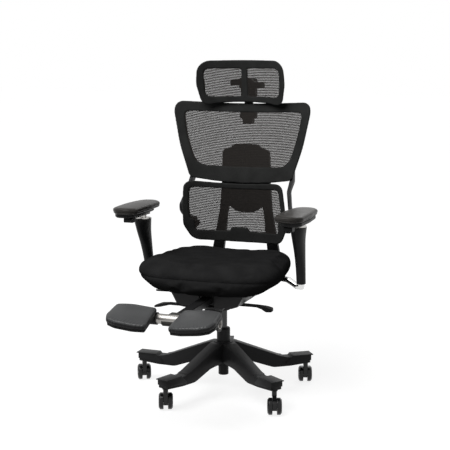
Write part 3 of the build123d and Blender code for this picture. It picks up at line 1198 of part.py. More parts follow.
# ---------------------------------------------------------------- headrest
head_outline = [(0, 1067), (90, 1062), (163, 1050), (181, 1130), (174, 1220), (0, 1222)]
head_outline_radii = [1200, 200, 30, 80, 40, 3000]
head_window = [(HEAD_STRAP / 2, 1087), (140, 1085), (142, 1189), (HEAD_STRAP / 2, 1190)]
head_window_radii = [4, 16, 16, 4]
head_shape = (HEAD_RADIUS, HEAD_FRONT, HEAD_BASE, HEAD_LEAN, 1226)
head_slab = curved_slab(*head_shape, MESH_THICKNESS, HEAD_THICKNESS - MESH_THICKNESS, 195)

with BuildPart() as headrest_frame:
    with BuildSketch(plane_y(400)):
        add(outline_face(head_outline, head_outline_radii))
        with BuildLine():
            FilletPolyline(*head_window, radius=head_window_radii, close=True)
        make_face(mode=Mode.SUBTRACT)
        with BuildLine():
            FilletPolyline(*[(-x, z) for x, z in head_window], radius=head_window_radii, close=True)
        make_face(mode=Mode.SUBTRACT)
    extrude(amount=500)
    add(head_slab, mode=Mode.INTERSECT)
save(headrest_frame, "headrest_frame")
headrest_mesh = mesh_panel(head_outline, head_outline_radii, curved_slab(*head_shape, 0, MESH_THICKNESS, 195))
save(headrest_mesh, "headrest_mesh")
head_front_space = curved_slab(*head_shape, -60, 60 + HEAD_THICKNESS, 195)

yoke_plate_back = KNUCKLE_Y - KNUCKLE_RADIUS - 2
wing_inner = KNUCKLE_HALF_WIDTH + SIDE_GAP

with BuildPart() as headrest_yoke:
    # Plate behind the headrest's strap, cut to the strap's rear face.
    with BuildSketch(plane_y(yoke_plate_back)):
        with BuildLine():
            FilletPolyline((-WING_HALF_WIDTH, KNUCKLE_Z - 14), (WING_HALF_WIDTH, KNUCKLE_Z - 14),
                           (WING_HALF_WIDTH, KNUCKLE_Z + 20), (20, KNUCKLE_Z + 24), (-20, KNUCKLE_Z + 24),
                           (-WING_HALF_WIDTH, KNUCKLE_Z + 20), radius=8, close=True)
        make_face()
    extrude(amount=60)
    add(head_front_space, mode=Mode.SUBTRACT)
    # Outer knuckles of the hinge.
    for side in (-1, 1):
        with BuildSketch(plane_x(side * wing_inner)):
            with Locations((KNUCKLE_Y, KNUCKLE_Z)):
                Circle(KNUCKLE_RADIUS)
            with Locations((KNUCKLE_Y - (KNUCKLE_RADIUS + 4) / 2, KNUCKLE_Z + 2)):
                Rectangle(KNUCKLE_RADIUS + 4, 30)
            with Locations((KNUCKLE_Y, KNUCKLE_Z)):
                Circle(HEAD_PIN_RADIUS + SEAT_GAP, mode=Mode.SUBTRACT)
        extrude(amount=side * (WING_HALF_WIDTH - wing_inner))
save(headrest_yoke, "headrest_yoke")

with BuildPart() as headrest_pin:
    with BuildSketch(plane_x(0)):
        with Locations((KNUCKLE_Y, KNUCKLE_Z)):
            Circle(HEAD_PIN_RADIUS)
    extrude(amount=WING_HALF_WIDTH, both=True)
save(headrest_pin, "headrest_pin")

with BuildPart() as headrest_post:
    with BuildSketch(plane_x(0)):
        with Locations((KNUCKLE_Y, KNUCKLE_Z)):
            Circle(KNUCKLE_RADIUS)
        with BuildLine():
            FilletPolyline((KNUCKLE_Y - 12, KNUCKLE_Z), (KNUCKLE_Y - 12, KNUCKLE_Z - 56), (KNUCKLE_Y - 6, KNUCKLE_Z - 66),
                           (KNUCKLE_Y + 6, KNUCKLE_Z - 66), (KNUCKLE_Y + 14, KNUCKLE_Z - 52), (KNUCKLE_Y + 14, KNUCKLE_Z),
                           radius=[0, 3, 0, 0, 6, 0], close=True)
        make_face()
        with Locations((KNUCKLE_Y, KNUCKLE_Z)):
            Circle(HEAD_PIN_RADIUS + RUN_GAP, mode=Mode.SUBTRACT)
    extrude(amount=KNUCKLE_HALF_WIDTH, both=True)
    with BuildSketch(Plane.XY.offset(POST_BOTTOM)):
        with Locations((0, KNUCKLE_Y)):
            Rectangle(2 * POST_HALF_WIDTH, POST_THICKNESS)
    extrude(amount=KNUCKLE_Z - 60 - POST_BOTTOM)
save(headrest_post, "headrest_post")

bracket_back = KNUCKLE_Y + POST_THICKNESS / 2 + 6

with BuildPart() as headrest_bracket:
    with BuildSketch(plane_y(bracket_back)):
        with BuildLine():
            FilletPolyline((-18, BRACKET_BOTTOM), (18, BRACKET_BOTTOM), (20, BRACKET_BOTTOM + 20),
                           (31, BRACKET_BOTTOM + 24), (31, BRACKET_TOP), (-31, BRACKET_TOP),
                           (-31, BRACKET_BOTTOM + 24), (-20, BRACKET_BOTTOM + 20),
                           radius=[6, 6, 3, 4, 4, 4, 4, 3], close=True)
        make_face()
    extrude(amount=60)
    add(upper_front_space, mode=Mode.SUBTRACT)
    with BuildSketch(Plane.XY.offset(POST_BOTTOM - 4)):
        with Locations((0, KNUCKLE_Y)):
            Rectangle(2 * (POST_HALF_WIDTH + SIDE_GAP), POST_THICKNESS + 2 * SIDE_GAP)
    extrude(amount=BRACKET_TOP, mode=Mode.SUBTRACT)
save(headrest_bracket, "headrest_bracket")
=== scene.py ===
from math import asin, cos, exp, pi, radians, sin, sqrt, tan

import bmesh
import bpy
from mathutils import Matrix, Vector


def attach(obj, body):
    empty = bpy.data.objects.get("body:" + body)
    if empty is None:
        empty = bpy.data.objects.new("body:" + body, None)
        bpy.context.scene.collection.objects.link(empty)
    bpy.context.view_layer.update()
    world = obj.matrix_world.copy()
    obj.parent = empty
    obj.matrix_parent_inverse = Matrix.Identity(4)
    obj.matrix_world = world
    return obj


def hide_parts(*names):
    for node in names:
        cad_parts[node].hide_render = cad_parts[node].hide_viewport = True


# Reclining office chair with a pull-out footrest. +Z is up, the sitter faces -Y, +X is the sitter's
# left. Plates, rods and sections are drawn in millimetres. What is done to a mesh afterwards, the
# materials and the studio are in metres.
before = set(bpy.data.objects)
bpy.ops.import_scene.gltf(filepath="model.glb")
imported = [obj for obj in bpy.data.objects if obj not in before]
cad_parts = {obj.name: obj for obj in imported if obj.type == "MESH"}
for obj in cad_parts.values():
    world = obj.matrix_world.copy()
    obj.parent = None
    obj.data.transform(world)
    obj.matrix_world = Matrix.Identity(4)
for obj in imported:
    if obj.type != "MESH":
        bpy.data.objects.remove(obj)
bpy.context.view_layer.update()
scene = bpy.context.scene
SIDES = (("left", 1), ("right", -1))
CASTERS = range(1, 6)


# ---------------------------------------------------------------- materials
def shader_of(material):
    return material.node_tree.nodes["Principled BSDF"]


def new_material(name, colour, roughness, metallic=0.0, specular=0.5):
    """A Principled material with its even values on the shader's own sockets."""
    material = bpy.data.materials.new(name)
    material.use_nodes = True
    shader = shader_of(material)
    shader.inputs["Base Color"].default_value = (*colour, 1)
    shader.inputs["Roughness"].default_value = roughness
    shader.inputs["Metallic"].default_value = metallic
    shader.inputs["Specular IOR Level"].default_value = specular
    return material


def node(material, kind, **inputs):
    """Adds a node and sets its inputs by name."""
    made = material.node_tree.nodes.new(kind)
    for key, value in inputs.items():
        made.inputs[key].default_value = value
    return made


def join(material, out, into):
    material.node_tree.links.new(out, into)


def object_coordinates(material):
    return node(material, "ShaderNodeTexCoord").outputs["Object"]


def noise(material, scale, detail=4.0, roughness=0.55):
    """Noise on object coordinates, scale in waves per metre."""
    made = node(material, "ShaderNodeTexNoise", Scale=scale, Detail=detail, Roughness=roughness)
    join(material, object_coordinates(material), made.inputs["Vector"])
    return made.outputs["Fac"]


def ramp(material, source, stops):
    """Colour ramp from (position, colour) stops."""
    made = node(material, "ShaderNodeValToRGB")
    band = made.color_ramp
    for (position, colour), stop in zip(stops, band.elements):
        stop.position = position
        stop.color = (*colour, 1)
    join(material, source, made.inputs["Fac"])
    return made.outputs["Color"]


def math_node(material, operation, first, second=0.5):
    made = material.node_tree.nodes.new("ShaderNodeMath")
    made.operation = operation
    for socket, value in zip(made.inputs, (first, second)):
        if isinstance(value, (int, float)):
            socket.default_value = value
        else:
            join(material, value, socket)
    return made.outputs["Value"]


def bump(material, height, distance, strength=1.0, edge=0.0):
    """Bump from a height, over softened edges where `edge` is their radius."""
    made = node(material, "ShaderNodeBump", Distance=distance, Strength=strength)
    join(material, height, made.inputs["Height"])
    if edge:
        soft = node(material, "ShaderNodeBevel", Radius=edge)
        soft.samples = 4
        join(material, soft.outputs["Normal"], made.inputs["Normal"])
    join(material, made.outputs["Normal"], shader_of(material).inputs["Normal"])


def vary(material, socket, source, low, high):
    """Feeds a socket from a 0 to 1 source, stretched to low to high."""
    made = node(material, "ShaderNodeMapRange")
    made.inputs["To Min"].default_value = low
    made.inputs["To Max"].default_value = high
    join(material, source, made.inputs["Value"])
    join(material, made.outputs["Result"], shader_of(material).inputs[socket])


def moulded_plastic(name, colour, roughness, grain=900.0, specular=0.2):
    """Spark-eroded moulding: fine even grain, faint mottling, softened edges."""
    material = new_material(name, colour, roughness, specular=specular)
    mottle = noise(material, 35.0, 5.0)
    vary(material, "Roughness", mottle, roughness - 0.07, roughness + 0.07)
    lighter = tuple(min(1.0, c * 1.35) for c in colour)
    join(material, ramp(material, mottle, [(0.3, colour), (0.75, lighter)]),
         shader_of(material).inputs["Base Color"])
    bump(material, noise(material, grain, 2.0), 0.00012, 0.5, edge=0.0012)
    return material


def enamelled_steel(name, colour, roughness, specular=0.3):
    """Powder-coated or enamelled steel with a slight orange peel."""
    material = new_material(name, colour, roughness, specular=specular)
    vary(material, "Roughness", noise(material, 60.0), roughness - 0.06, roughness + 0.08)
    bump(material, noise(material, 260.0, 1.0), 0.00015, 0.35, edge=0.0008)
    return material


def bright_metal(name, colour, roughness):
    """Polished or plated metal with faint handling marks."""
    material = new_material(name, colour, roughness, metallic=1.0)
    vary(material, "Roughness", noise(material, 140.0, 8.0, 0.7), roughness - 0.05, roughness + 0.12)
    bump(material, noise(material, 90.0, 6.0), 0.0001, 0.25, edge=0.0008)
    return material


def knitted_fabric(name, colour, pitch):
    """Close warp knit without gloss: fine diamond ribs, with painted shade darkening the hollows between
    them.
    """
    material = new_material(name, colour, 0.95, specular=0.0)
    shader = shader_of(material)
    axes = node(material, "ShaderNodeSeparateXYZ")
    join(material, object_coordinates(material), axes.inputs[0])
    turns = 2 * pi / pitch
    across = math_node(material, "SINE", math_node(material, "MULTIPLY", axes.outputs["X"], turns))
    along = math_node(material, "ADD", axes.outputs["Y"], axes.outputs["Z"])
    along = math_node(material, "SINE", math_node(material, "MULTIPLY", along, turns))
    knit = math_node(material, "MULTIPLY", across, along)
    height = math_node(material, "ADD", math_node(material, "MULTIPLY", knit, 0.35),
                       noise(material, 1500.0, 2.0))
    bump(material, height, 0.0003, 0.6)
    # painted shade: the colour follows the ribs' height and is darker in the hollows between them, plus
    # random tone from noise
    rib_shade_and_tone = math_node(material, "ADD", math_node(material, "MULTIPLY", knit, 0.18),
                     noise(material, 18.0, 6.0))
    darker = tuple(c * 0.75 for c in colour)
    lighter = tuple(c * 1.2 for c in colour)
    join(material, ramp(material, rib_shade_and_tone, [(0.25, darker), (0.75, lighter)]), shader.inputs["Base Color"])
    return material


def grained_leather(name, colour, roughness, pebble=420.0, specular=0.3):
    """Coated leather: pebbled grain of small cells, gloss that varies slowly."""
    material = new_material(name, colour, roughness, specular=specular)
    cells = node(material, "ShaderNodeTexVoronoi", Scale=pebble)
    cells.feature = "SMOOTH_F1"
    join(material, object_coordinates(material), cells.inputs["Vector"])
    height = math_node(material, "ADD", cells.outputs["Distance"], noise(material, 60.0, 5.0))
    bump(material, height, 0.00025, 0.4)
    vary(material, "Roughness", noise(material, 25.0, 4.0), roughness - 0.06, roughness + 0.08)
    darker = tuple(c * 0.85 for c in colour)
    lighter = tuple(c * 1.2 for c in colour)
    join(material, ramp(material, noise(material, 14.0, 5.0), [(0.3, darker), (0.75, lighter)]),
         shader_of(material).inputs["Base Color"])
    return material


WEAVE_PITCH = 0.0026  # distance between the mesh's threads
WEAVE_BAND = 0.0095  # distance between its denser rows
WEAVE_BOW = 0.42  # how much the rows arch, per metre
WEAVE_CROWN = 0.11  # where across the chair they are level
WEAVE_BAND_SHARE = 0.45  # how strongly the rows differ
WEAVE_THREAD = 1.0  # level of the pattern where the threads end
WEAVE_HOLE = 1.45  # and where the holes are fully open


def open_mesh(name, colour):
    """See-through woven mesh: round holes between threads, in slightly arched rows with denser bands."""
    material = new_material(name, colour, 0.9, specular=0.0)
    axes = node(material, "ShaderNodeSeparateXYZ")
    join(material, object_coordinates(material), axes.inputs[0])
    x, z = axes.outputs["X"], axes.outputs["Z"]
    aside = math_node(material, "SUBTRACT", x, WEAVE_CROWN)
    bow = math_node(material, "MULTIPLY", math_node(material, "MULTIPLY", aside, aside), WEAVE_BOW)
    row = math_node(material, "ADD", z, bow)
    warp = math_node(material, "SINE", math_node(material, "MULTIPLY", x, 2 * pi / WEAVE_PITCH))
    weft = math_node(material, "SINE", math_node(material, "MULTIPLY", row, 2 * pi / WEAVE_PITCH))
    band = math_node(material, "SINE", math_node(material, "MULTIPLY", row, 2 * pi / WEAVE_BAND))
    hole = math_node(material, "ADD", warp, weft)
    hole = math_node(material, "ADD", hole, math_node(material, "MULTIPLY", band, WEAVE_BAND_SHARE))
    edge = node(material, "ShaderNodeMapRange")
    edge.inputs["From Min"].default_value = WEAVE_THREAD
    edge.inputs["From Max"].default_value = WEAVE_HOLE
    edge.inputs["To Min"].default_value = 1.0
    edge.inputs["To Max"].default_value = 0.0
    join(material, hole, edge.inputs["Value"])
    join(material, edge.outputs["Result"], shader_of(material).inputs["Alpha"])
    bump(material, math_node(material, "MULTIPLY", hole, -1.0), 0.0004, 0.5)
    return material


nylon = moulded_plastic("black_nylon", (0.0135, 0.0135, 0.014), 0.46, specular=0.11)
textured_cover = moulded_plastic("textured_end_cover", (0.045, 0.044, 0.041), 0.55, 300.0, specular=0.05)
gloss_plastic = moulded_plastic("gloss_caster_plastic", (0.006, 0.006, 0.0065), 0.14, specular=0.3)
black_steel = enamelled_steel("black_steel", (0.012, 0.012, 0.0125), 0.38, specular=0.14)
tray_steel = enamelled_steel("tray_steel", (0.058, 0.058, 0.059), 0.4, specular=0.12)
shell_steel = enamelled_steel("footrest_shell_steel", (0.012, 0.012, 0.012), 0.4, specular=0.1)
piston_steel = enamelled_steel("piston_steel", (0.015, 0.015, 0.015), 0.22, specular=0.5)
aluminium = bright_metal("polished_aluminium", (0.66, 0.66, 0.65), 0.16)
chrome = bright_metal("bright_steel", (0.5, 0.49, 0.47), 0.16)
satin_steel = bright_metal("satin_steel", (0.3, 0.29, 0.275), 0.34)
seat_fabric = knitted_fabric("seat_fabric", (0.0185, 0.0185, 0.0188), 0.0016)
border_fabric = knitted_fabric("border_fabric", (0.027, 0.0275, 0.027), 0.0012)
mesh_weave = open_mesh("open_mesh", (0.031, 0.028, 0.026))
pad_leather = grained_leather("footrest_leather", (0.036, 0.037, 0.038), 0.36, specular=0.24)
# a darker copy of the pad leather: painted shade for the pads' side walls
painted_side_shade = grained_leather("footrest_pad_side", (0.012, 0.012, 0.0125), 0.45, specular=0.12)
arm_skin = grained_leather("arm_pad_skin", (0.029, 0.027, 0.025), 0.36, 700.0, specular=0.10)

CAD_FINISH = {
    black_steel: ("footrest_bar", "footrest_rail", "slide_lever"),
    tray_steel: ("seat_carrier", "tilt_housing"),
    piston_steel: ("gas_piston",),
    chrome: ("gas_rod", "pivot_pins", "headrest_pin", "arm_swivel_plate_left", "arm_swivel_plate_right"),
    textured_cover: ("footrest_cover",),
    gloss_plastic: tuple(f"caster_{piece}_{k}" for piece in ("body", "wheels") for k in CASTERS),
}


def finish_cad_nodes():
    """Gives every CAD node its finish. What has none of its own is black nylon."""
    finish = {name: material for material, names in CAD_FINISH.items() for name in names}
    for name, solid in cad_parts.items():
        solid.data.materials.clear()
        solid.data.materials.append(finish.get(name, nylon))


# ---------------------------------------------------------------- mesh helpers
def shade_smooth(piece):
    piece.data.polygons.foreach_set("use_smooth", [True] * len(piece.data.polygons))


def mesh_object(bm, name, material, body):
    """Turns a bmesh into an object, which rides on a body if one is named."""
    mesh = bpy.data.meshes.new(name)
    bm.to_mesh(mesh)
    bm.free()
    piece = bpy.data.objects.new(name, mesh)
    scene.collection.objects.link(piece)
    mesh.materials.append(material)
    shade_smooth(piece)
    if body:
        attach(piece, body)
    return piece


def node_copy(name):
    """Merged bmesh copy of a CAD node's mesh."""
    bm = bmesh.new()
    bm.from_mesh(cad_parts[name].data)
    bmesh.ops.remove_doubles(bm, verts=bm.verts, dist=1e-5)
    return bm


def evaluated(piece):
    """Replaces a piece's mesh by what its modifiers make of it, and removes them."""
    bpy.context.view_layer.update()
    graph = bpy.context.evaluated_depsgraph_get()
    made = bpy.data.meshes.new_from_object(piece.evaluated_get(graph))
    old = piece.data
    piece.modifiers.clear()
    piece.data = made
    made.name = old.name
    bpy.data.meshes.remove(old)


def remesh(piece, voxel, smooth_steps=0):
    """Even quads all over a closed piece, then softened."""
    modifier = piece.modifiers.new("even", "REMESH")
    modifier.mode = "VOXEL"
    modifier.voxel_size = voxel
    evaluated(piece)
    smooth(piece, smooth_steps)


def smooth(piece, smooth_steps):
    """Evens out a piece's points, each moved halfway to the middle of its neighbours."""
    bm = bmesh.new()
    bm.from_mesh(piece.data)
    for _ in range(smooth_steps):
        bmesh.ops.smooth_vert(bm, verts=bm.verts, factor=0.5,
                              use_axis_x=True, use_axis_y=True, use_axis_z=True)
    bm.to_mesh(piece.data)
    bm.free()
    shade_smooth(piece)


def face_outward(piece):
    bm = bmesh.new()
    bm.from_mesh(piece.data)
    bmesh.ops.recalc_face_normals(bm, faces=bm.faces)
    bm.to_mesh(piece.data)
    bm.free()


STUFFING_FRAMES = 20


def stuff(piece, pressure, reach):
    """Swells a closed piece like stuffing under its cover, no point moving further than reach."""
    before = [v.co.copy() for v in piece.data.vertices]
    cloth = piece.modifiers.new("stuffing", "CLOTH")
    cloth.settings.use_pressure = True
    cloth.settings.uniform_pressure_force = pressure
    cloth.settings.effector_weights.gravity = 0
    cloth.settings.tension_stiffness = 40
    cloth.settings.bending_stiffness = 12
    cloth.point_cache.frame_start = 1
    cloth.point_cache.frame_end = STUFFING_FRAMES
    for step in range(1, STUFFING_FRAMES + 1):
        scene.frame_set(step)
    evaluated(piece)
    scene.frame_set(1)
    for vertex, start in zip(piece.data.vertices, before):
        moved = vertex.co - start
        if moved.length > reach:
            vertex.co = start + moved * (reach / moved.length)


def subdivide(piece):
    modifier = piece.modifiers.new("smooth", "SUBSURF")
    modifier.levels = 1
    modifier.render_levels = 1
    evaluated(piece)


# ---------------------------------------------------------------- forms from outlines
MM = 0.001
MERGE = 1e-6  # points nearer than this become one
ARC_STEPS = 6  # straight pieces in each rounded corner
# Where an outline's two axes and its thickness go, by the direction of the thickness.
UPRIGHT = {
    "x": Matrix(((0, 0, 1, 0), (1, 0, 0, 0), (0, 1, 0, 0), (0, 0, 0, 1))),
    "y": Matrix(((1, 0, 0, 0), (0, 0, 1, 0), (0, 1, 0, 0), (0, 0, 0, 1))),
    "z": Matrix.Identity(4),
}


SHARP_CORNER = 0.01  # an arc that starts nearer to its corner than this isn't drawn


def rounded(points, radii):
    """Closed outline whose corners become arcs of the given radii."""
    made = []
    for k, (corner, radius) in enumerate(zip(points, radii)):
        here = Vector(corner)
        back = Vector(points[k - 1]) - here
        ahead = Vector(points[(k + 1) % len(points)]) - here
        half = back.angle(ahead) / 2
        reach = radius / tan(half)
        if reach < SHARP_CORNER:
            made.append(here)
            continue
        middle = here + (back.normalized() + ahead.normalized()).normalized() * (radius / sin(half))
        start = here + back.normalized() * reach - middle
        end = here + ahead.normalized() * reach - middle
        turn = start.angle(end)
        for step in range(ARC_STEPS + 1):
            share = step / ARC_STEPS
            made.append(middle + (start * sin((1 - share) * turn) + end * sin(share * turn)) / sin(turn))
    return made


def both_halves(points):
    """A half outline from centre line to centre line, with its mirror image added."""
    return points + [(-x, y) for x, y in reversed(points) if x > 0]


def both_radii(points, radii):
    """The corner radii that go with both halves of an outline."""
    return radii + [r for (x, _), r in reversed(list(zip(points, radii))) if x > 0]


def circle(centre, radius, count=48):
    turns = [2 * pi * k / count for k in range(count)]
    return [Vector((centre[0] + radius * cos(turn), centre[1] + radius * sin(turn))) for turn in turns]


def mesh_of(curve):
    """The mesh that a curve makes."""
    drawn = bpy.data.objects.new(curve.name, curve)
    scene.collection.objects.link(drawn)
    bpy.context.view_layer.update()
    made = bpy.data.meshes.new_from_object(drawn.evaluated_get(bpy.context.evaluated_depsgraph_get()))
    bpy.data.objects.remove(drawn)
    return made


def plate(outlines, axis, low, high, rim=0.0, inset=0.0):
    """Solid between two heights along an axis: an outline and any holes in it, its rim rounded."""
    curve = bpy.data.curves.new("plate", "CURVE")
    curve.dimensions = "2D"
    curve.fill_mode = "BOTH"
    curve.extrude = ((high - low) / 2 - rim) * MM
    curve.bevel_depth = rim * MM
    curve.bevel_resolution = 3
    curve.offset = -(rim + inset) * MM
    for outline in outlines:
        spline = curve.splines.new("POLY")
        spline.points.add(len(outline) - 1)
        for point, (a, b) in zip(spline.points, outline):
            point.co = (a * MM, b * MM, 0, 1)
        spline.use_cyclic_u = True
    bm = bmesh.new()
    bm.from_mesh(mesh_of(curve))
    bmesh.ops.remove_doubles(bm, verts=bm.verts, dist=MERGE)
    bmesh.ops.translate(bm, vec=(0, 0, (low + high) / 2 * MM), verts=bm.verts)
    bmesh.ops.transform(bm, matrix=UPRIGHT[axis], verts=bm.verts)
    bmesh.ops.recalc_face_normals(bm, faces=bm.faces)
    return bm


def slab(view, radii, axis, ends):
    """Plate with rounded corners between two places along an axis."""
    return plate([rounded(view, radii)], axis, *ends)


def rod(centre, radius, ends):
    """Round bar across the chair."""
    return plate([circle(centre, radius)], "x", *ends)


def combined(first, *others):
    """A form with others joined to it, cut from it or met with it, given as (operation, form)."""
    base = mesh_object(first, "base", nylon, None)
    for operation, other in others:
        tool = mesh_object(other, "tool", nylon, None)
        modifier = base.modifiers.new("combine", "BOOLEAN")
        modifier.operation = operation
        modifier.solver = "EXACT"
        modifier.object = tool
        evaluated(base)
        bpy.data.objects.remove(tool)
    bm = bmesh.new()
    bm.from_mesh(base.data)
    bpy.data.objects.remove(base)
    bmesh.ops.remove_doubles(bm, verts=bm.verts, dist=MERGE)
    return bm


def mirrored(bm):
    """The same form on the other side of x = 0."""
    other = bm.copy()
    bmesh.ops.scale(other, vec=(-1, 1, 1), verts=other.verts)
    bmesh.ops.recalc_face_normals(other, faces=other.faces)
    return other


def turned(bm, side):
    """A form made for the left side, or its mirror image where side is -1."""
    return bm if side > 0 else mirrored(bm)


ROUNDED_ANGLE = radians(38)  # edges that turn by more than this are rounded
SHARP_ANGLE = radians(32)


def hard_piece(bm, name, material, body, replaced, edge=0.8):
    """A moulded or metal piece with small rounded edges, in place of CAD nodes."""
    piece = mesh_object(bm, name, material, None)
    if edge:
        modifier = piece.modifiers.new("edges", "BEVEL")
        modifier.width = edge * MM
        modifier.segments = 2
        modifier.limit_method = "ANGLE"
        modifier.angle_limit = ROUNDED_ANGLE
        evaluated(piece)
    shade_smooth(piece)
    piece.data.set_sharp_from_angle(angle=SHARP_ANGLE)
    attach(piece, body)
    if replaced:
        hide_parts(*replaced)
    return piece


def lathe(profile, steps=48):
    """Solid turned about the z axis from (radius, height) points in millimetres."""
    bm = bmesh.new()
    points = [bm.verts.new((r * MM, 0, z * MM)) for r, z in profile]
    edges = [bm.edges.new(pair) for pair in zip(points, points[1:])]
    bmesh.ops.spin(bm, geom=points + edges, axis=(0, 0, 1), cent=(0, 0, 0), angle=2 * pi, steps=steps)
    bmesh.ops.remove_doubles(bm, verts=bm.verts, dist=MERGE)
    bmesh.ops.recalc_face_normals(bm, faces=bm.faces)
    return bm


def smooth_ring(points):
    """Even points along a smooth closed curve through the given ones."""
    curve = bpy.data.curves.new("ring", "CURVE")
    curve.dimensions = "3D"
    curve.resolution_u = 6
    spline = curve.splines.new("BEZIER")
    spline.bezier_points.add(len(points) - 1)
    for knot, place in zip(spline.bezier_points, points):
        knot.co = place
        knot.handle_left_type = knot.handle_right_type = "AUTO"
    spline.use_cyclic_u = True
    return [v.co.copy() for v in mesh_of(curve).vertices]


def lofted(rings):
    """Closed form through rings of as many points each, capped at both ends."""
    bm = bmesh.new()
    loops = []
    for ring in rings:
        made = bmesh.ops.create_circle(bm, segments=len(ring), radius=1.0)["verts"]
        for vertex, place in zip(made, ring):
            vertex.co = place
        loops.append(list({e for v in made for e in v.link_edges}))
    for lower, upper in zip(loops, loops[1:]):
        bmesh.ops.bridge_loops(bm, edges=lower + upper)
    bmesh.ops.holes_fill(bm, edges=bm.edges, sides=0)
    bmesh.ops.recalc_face_normals(bm, faces=bm.faces)
    return bm


# ---------------------------------------------------------------- padded pieces
def padded_form(name, bm, replaced, material, body, voxel, shrink, pressure, reach, smooth_steps,
                reshape):
    """A stuffed piece grown from a plain form: remeshed, reshaped, smoothed, shrunk and swelled."""
    piece = mesh_object(bm, name, material, None)
    remesh(piece, voxel)
    for vertex in piece.data.vertices:
        vertex.co = reshape(vertex.co)
    face_outward(piece)
    smooth(piece, smooth_steps)
    for vertex in piece.data.vertices:
        vertex.co -= vertex.normal * shrink
    stuff(piece, pressure, reach)
    subdivide(piece)
    shade_smooth(piece)
    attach(piece, body)
    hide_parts(replaced)
    return piece


SEAM_HALF_WIDTH = 0.0011  # of the groove where the cover is sewn


def press_seam(piece, point, normal, depth, spread, share=lambda co: 1.0):
    """A sewn line round a piece: a narrow groove in a plane, the cover beside it pulled in softly."""
    bm = bmesh.new()
    bm.from_mesh(piece.data)
    normal = Vector(normal).normalized()
    for offset in (-SEAM_HALF_WIDTH, 0.0, SEAM_HALF_WIDTH):
        bmesh.ops.bisect_plane(bm, geom=bm.verts[:] + bm.edges[:] + bm.faces[:],
                               plane_co=Vector(point) + normal * offset, plane_no=normal)
    bm.normal_update()
    pressed = []
    for vertex in bm.verts:
        gap = abs((vertex.co - Vector(point)).dot(normal))
        pull = 0.6 * depth * exp(-(gap / spread) ** 2) + (0.7 * depth if gap < 1e-5 else 0.0)
        if pull > 1e-5:
            pressed.append((vertex, vertex.normal * pull * share(vertex.co)))
    for vertex, move in pressed:
        vertex.co -= move
    bm.to_mesh(piece.data)
    bm.free()
    shade_smooth(piece)


CUSHION_HALF_WIDTH = 276
CUSHION_FRONT = -280
CUSHION_REAR = 218
CUSHION_TOP = 516
CUSHION_SEAM = 0.452  # height of its sewn line
SEAM_END = 0.12  # the line fades out before this y
SEAM_FADE = 0.15  # over this distance
# From the front centre to the rear centre: share of the half width, share of the way to the front (-) or
# rear (+) edge, and how much of the side inset applies there.
CUSHION_PLAN = [(0, -1, 1), (0.30, -0.99, 0.8), (0.60, -0.95, 0.75), (0.85, -0.843, 0.72),
                (0.985, -0.625, 0.78), (0.99, -0.34, 0.95), (0.95, -0.036, 1.05), (0.895, 0.32, 1.05),
                (0.826, 0.642, 1.05), (0.681, 0.89, 1), (0.435, 0.982, 1), (0, 1, 1)]
# Height, then how far the outline is drawn in at the sides, the front and the rear.
CUSHION_RINGS = [(410.8, 105, 48, 50), (418, 84, 18, 28), (430, 64, 6, 12), (441, 43, 2, 6), (452, 20, 0, 2),
                 (463, 7, 0, 0), (477, 0, 1, 0), (491, 1, 6, 2), (503, 7, 18, 9), (511, 20, 36, 22),
                 (516, 44, 62, 44)]
DISH_RADIUS = 2.2  # of the dish in the cushion's top
DISH_DEPTH = 0.007
DISH_FALL = 0.009  # how much the dish drops per metre towards the rear


def cushion_ring(z, side, front, rear):
    """The cushion's outline at one height, drawn in at its sides, front and rear."""
    half = []
    for share_x, share_y, draw in CUSHION_PLAN:
        reach = CUSHION_REAR - rear if share_y > 0 else -CUSHION_FRONT - front
        half.append((share_x * (CUSHION_HALF_WIDTH - side * draw), share_y * reach))
    other_half = [(-x, y) for x, y in reversed(half[1:-1])]
    return smooth_ring([(x * MM, y * MM, z * MM) for x, y in half + other_half])


def dished(co):
    """Keeps the cushion's top under a shallow dish."""
    roof = CUSHION_TOP * MM - DISH_DEPTH + DISH_RADIUS - sqrt(DISH_RADIUS ** 2 - co.x ** 2)
    roof -= DISH_FALL * (co.y - CUSHION_FRONT * MM)
    return Vector((co.x, co.y, min(co.z, roof)))


def seam_share(co):
    """How much of the seam shows at a point: all of it at the front, none at the rear."""
    return max(0.0, min(1.0, (SEAM_END - co.y) / SEAM_FADE))


PAN_OUTLINE = [(-150, -200), (150, -200), (150, 165), (-150, 165)]
PAN_CORNER = 40
PAN_HEIGHTS = (401.8, 410.8)


def build_seat():
    cushion = padded_form("seat_cushion_cover", lofted([cushion_ring(*ring) for ring in CUSHION_RINGS]),
                          "seat_cushion", seat_fabric, "seat", voxel=0.007, shrink=0.004,
                          pressure=3.0, reach=0.010, smooth_steps=3, reshape=dished)
    press_seam(cushion, (0, 0, CUSHION_SEAM), (0, 0.05, 1), depth=0.0038, spread=0.006, share=seam_share)
    pan = slab(PAN_OUTLINE, [PAN_CORNER] * 4, "z", PAN_HEIGHTS)
    hard_piece(pan, "seat_pan_board", nylon, "seat", ["seat_pan"])


PAD_SLOPE = radians(15)  # footrest pads fall towards the front
PAD_CANT = radians(5)  # and rise outwards
PAD_CENTRE = (0.116, -0.575, 0.408)
PAD_THICKNESS = 20
PAD_RIM = 5  # radius of its upper and lower edges
PAD_SHADE_TOP = -0.0045  # where the painted shade on the side wall begins, below the top of the flat pad
PAD_CROWN = 0.006  # how much the top rises in the middle
PAD_CROWN_REACH = (0.085, 0.072)  # and how far from the middle it has fallen to nothing
PAD_CROWN_FROM = -0.012  # what lies lower than this stays flat
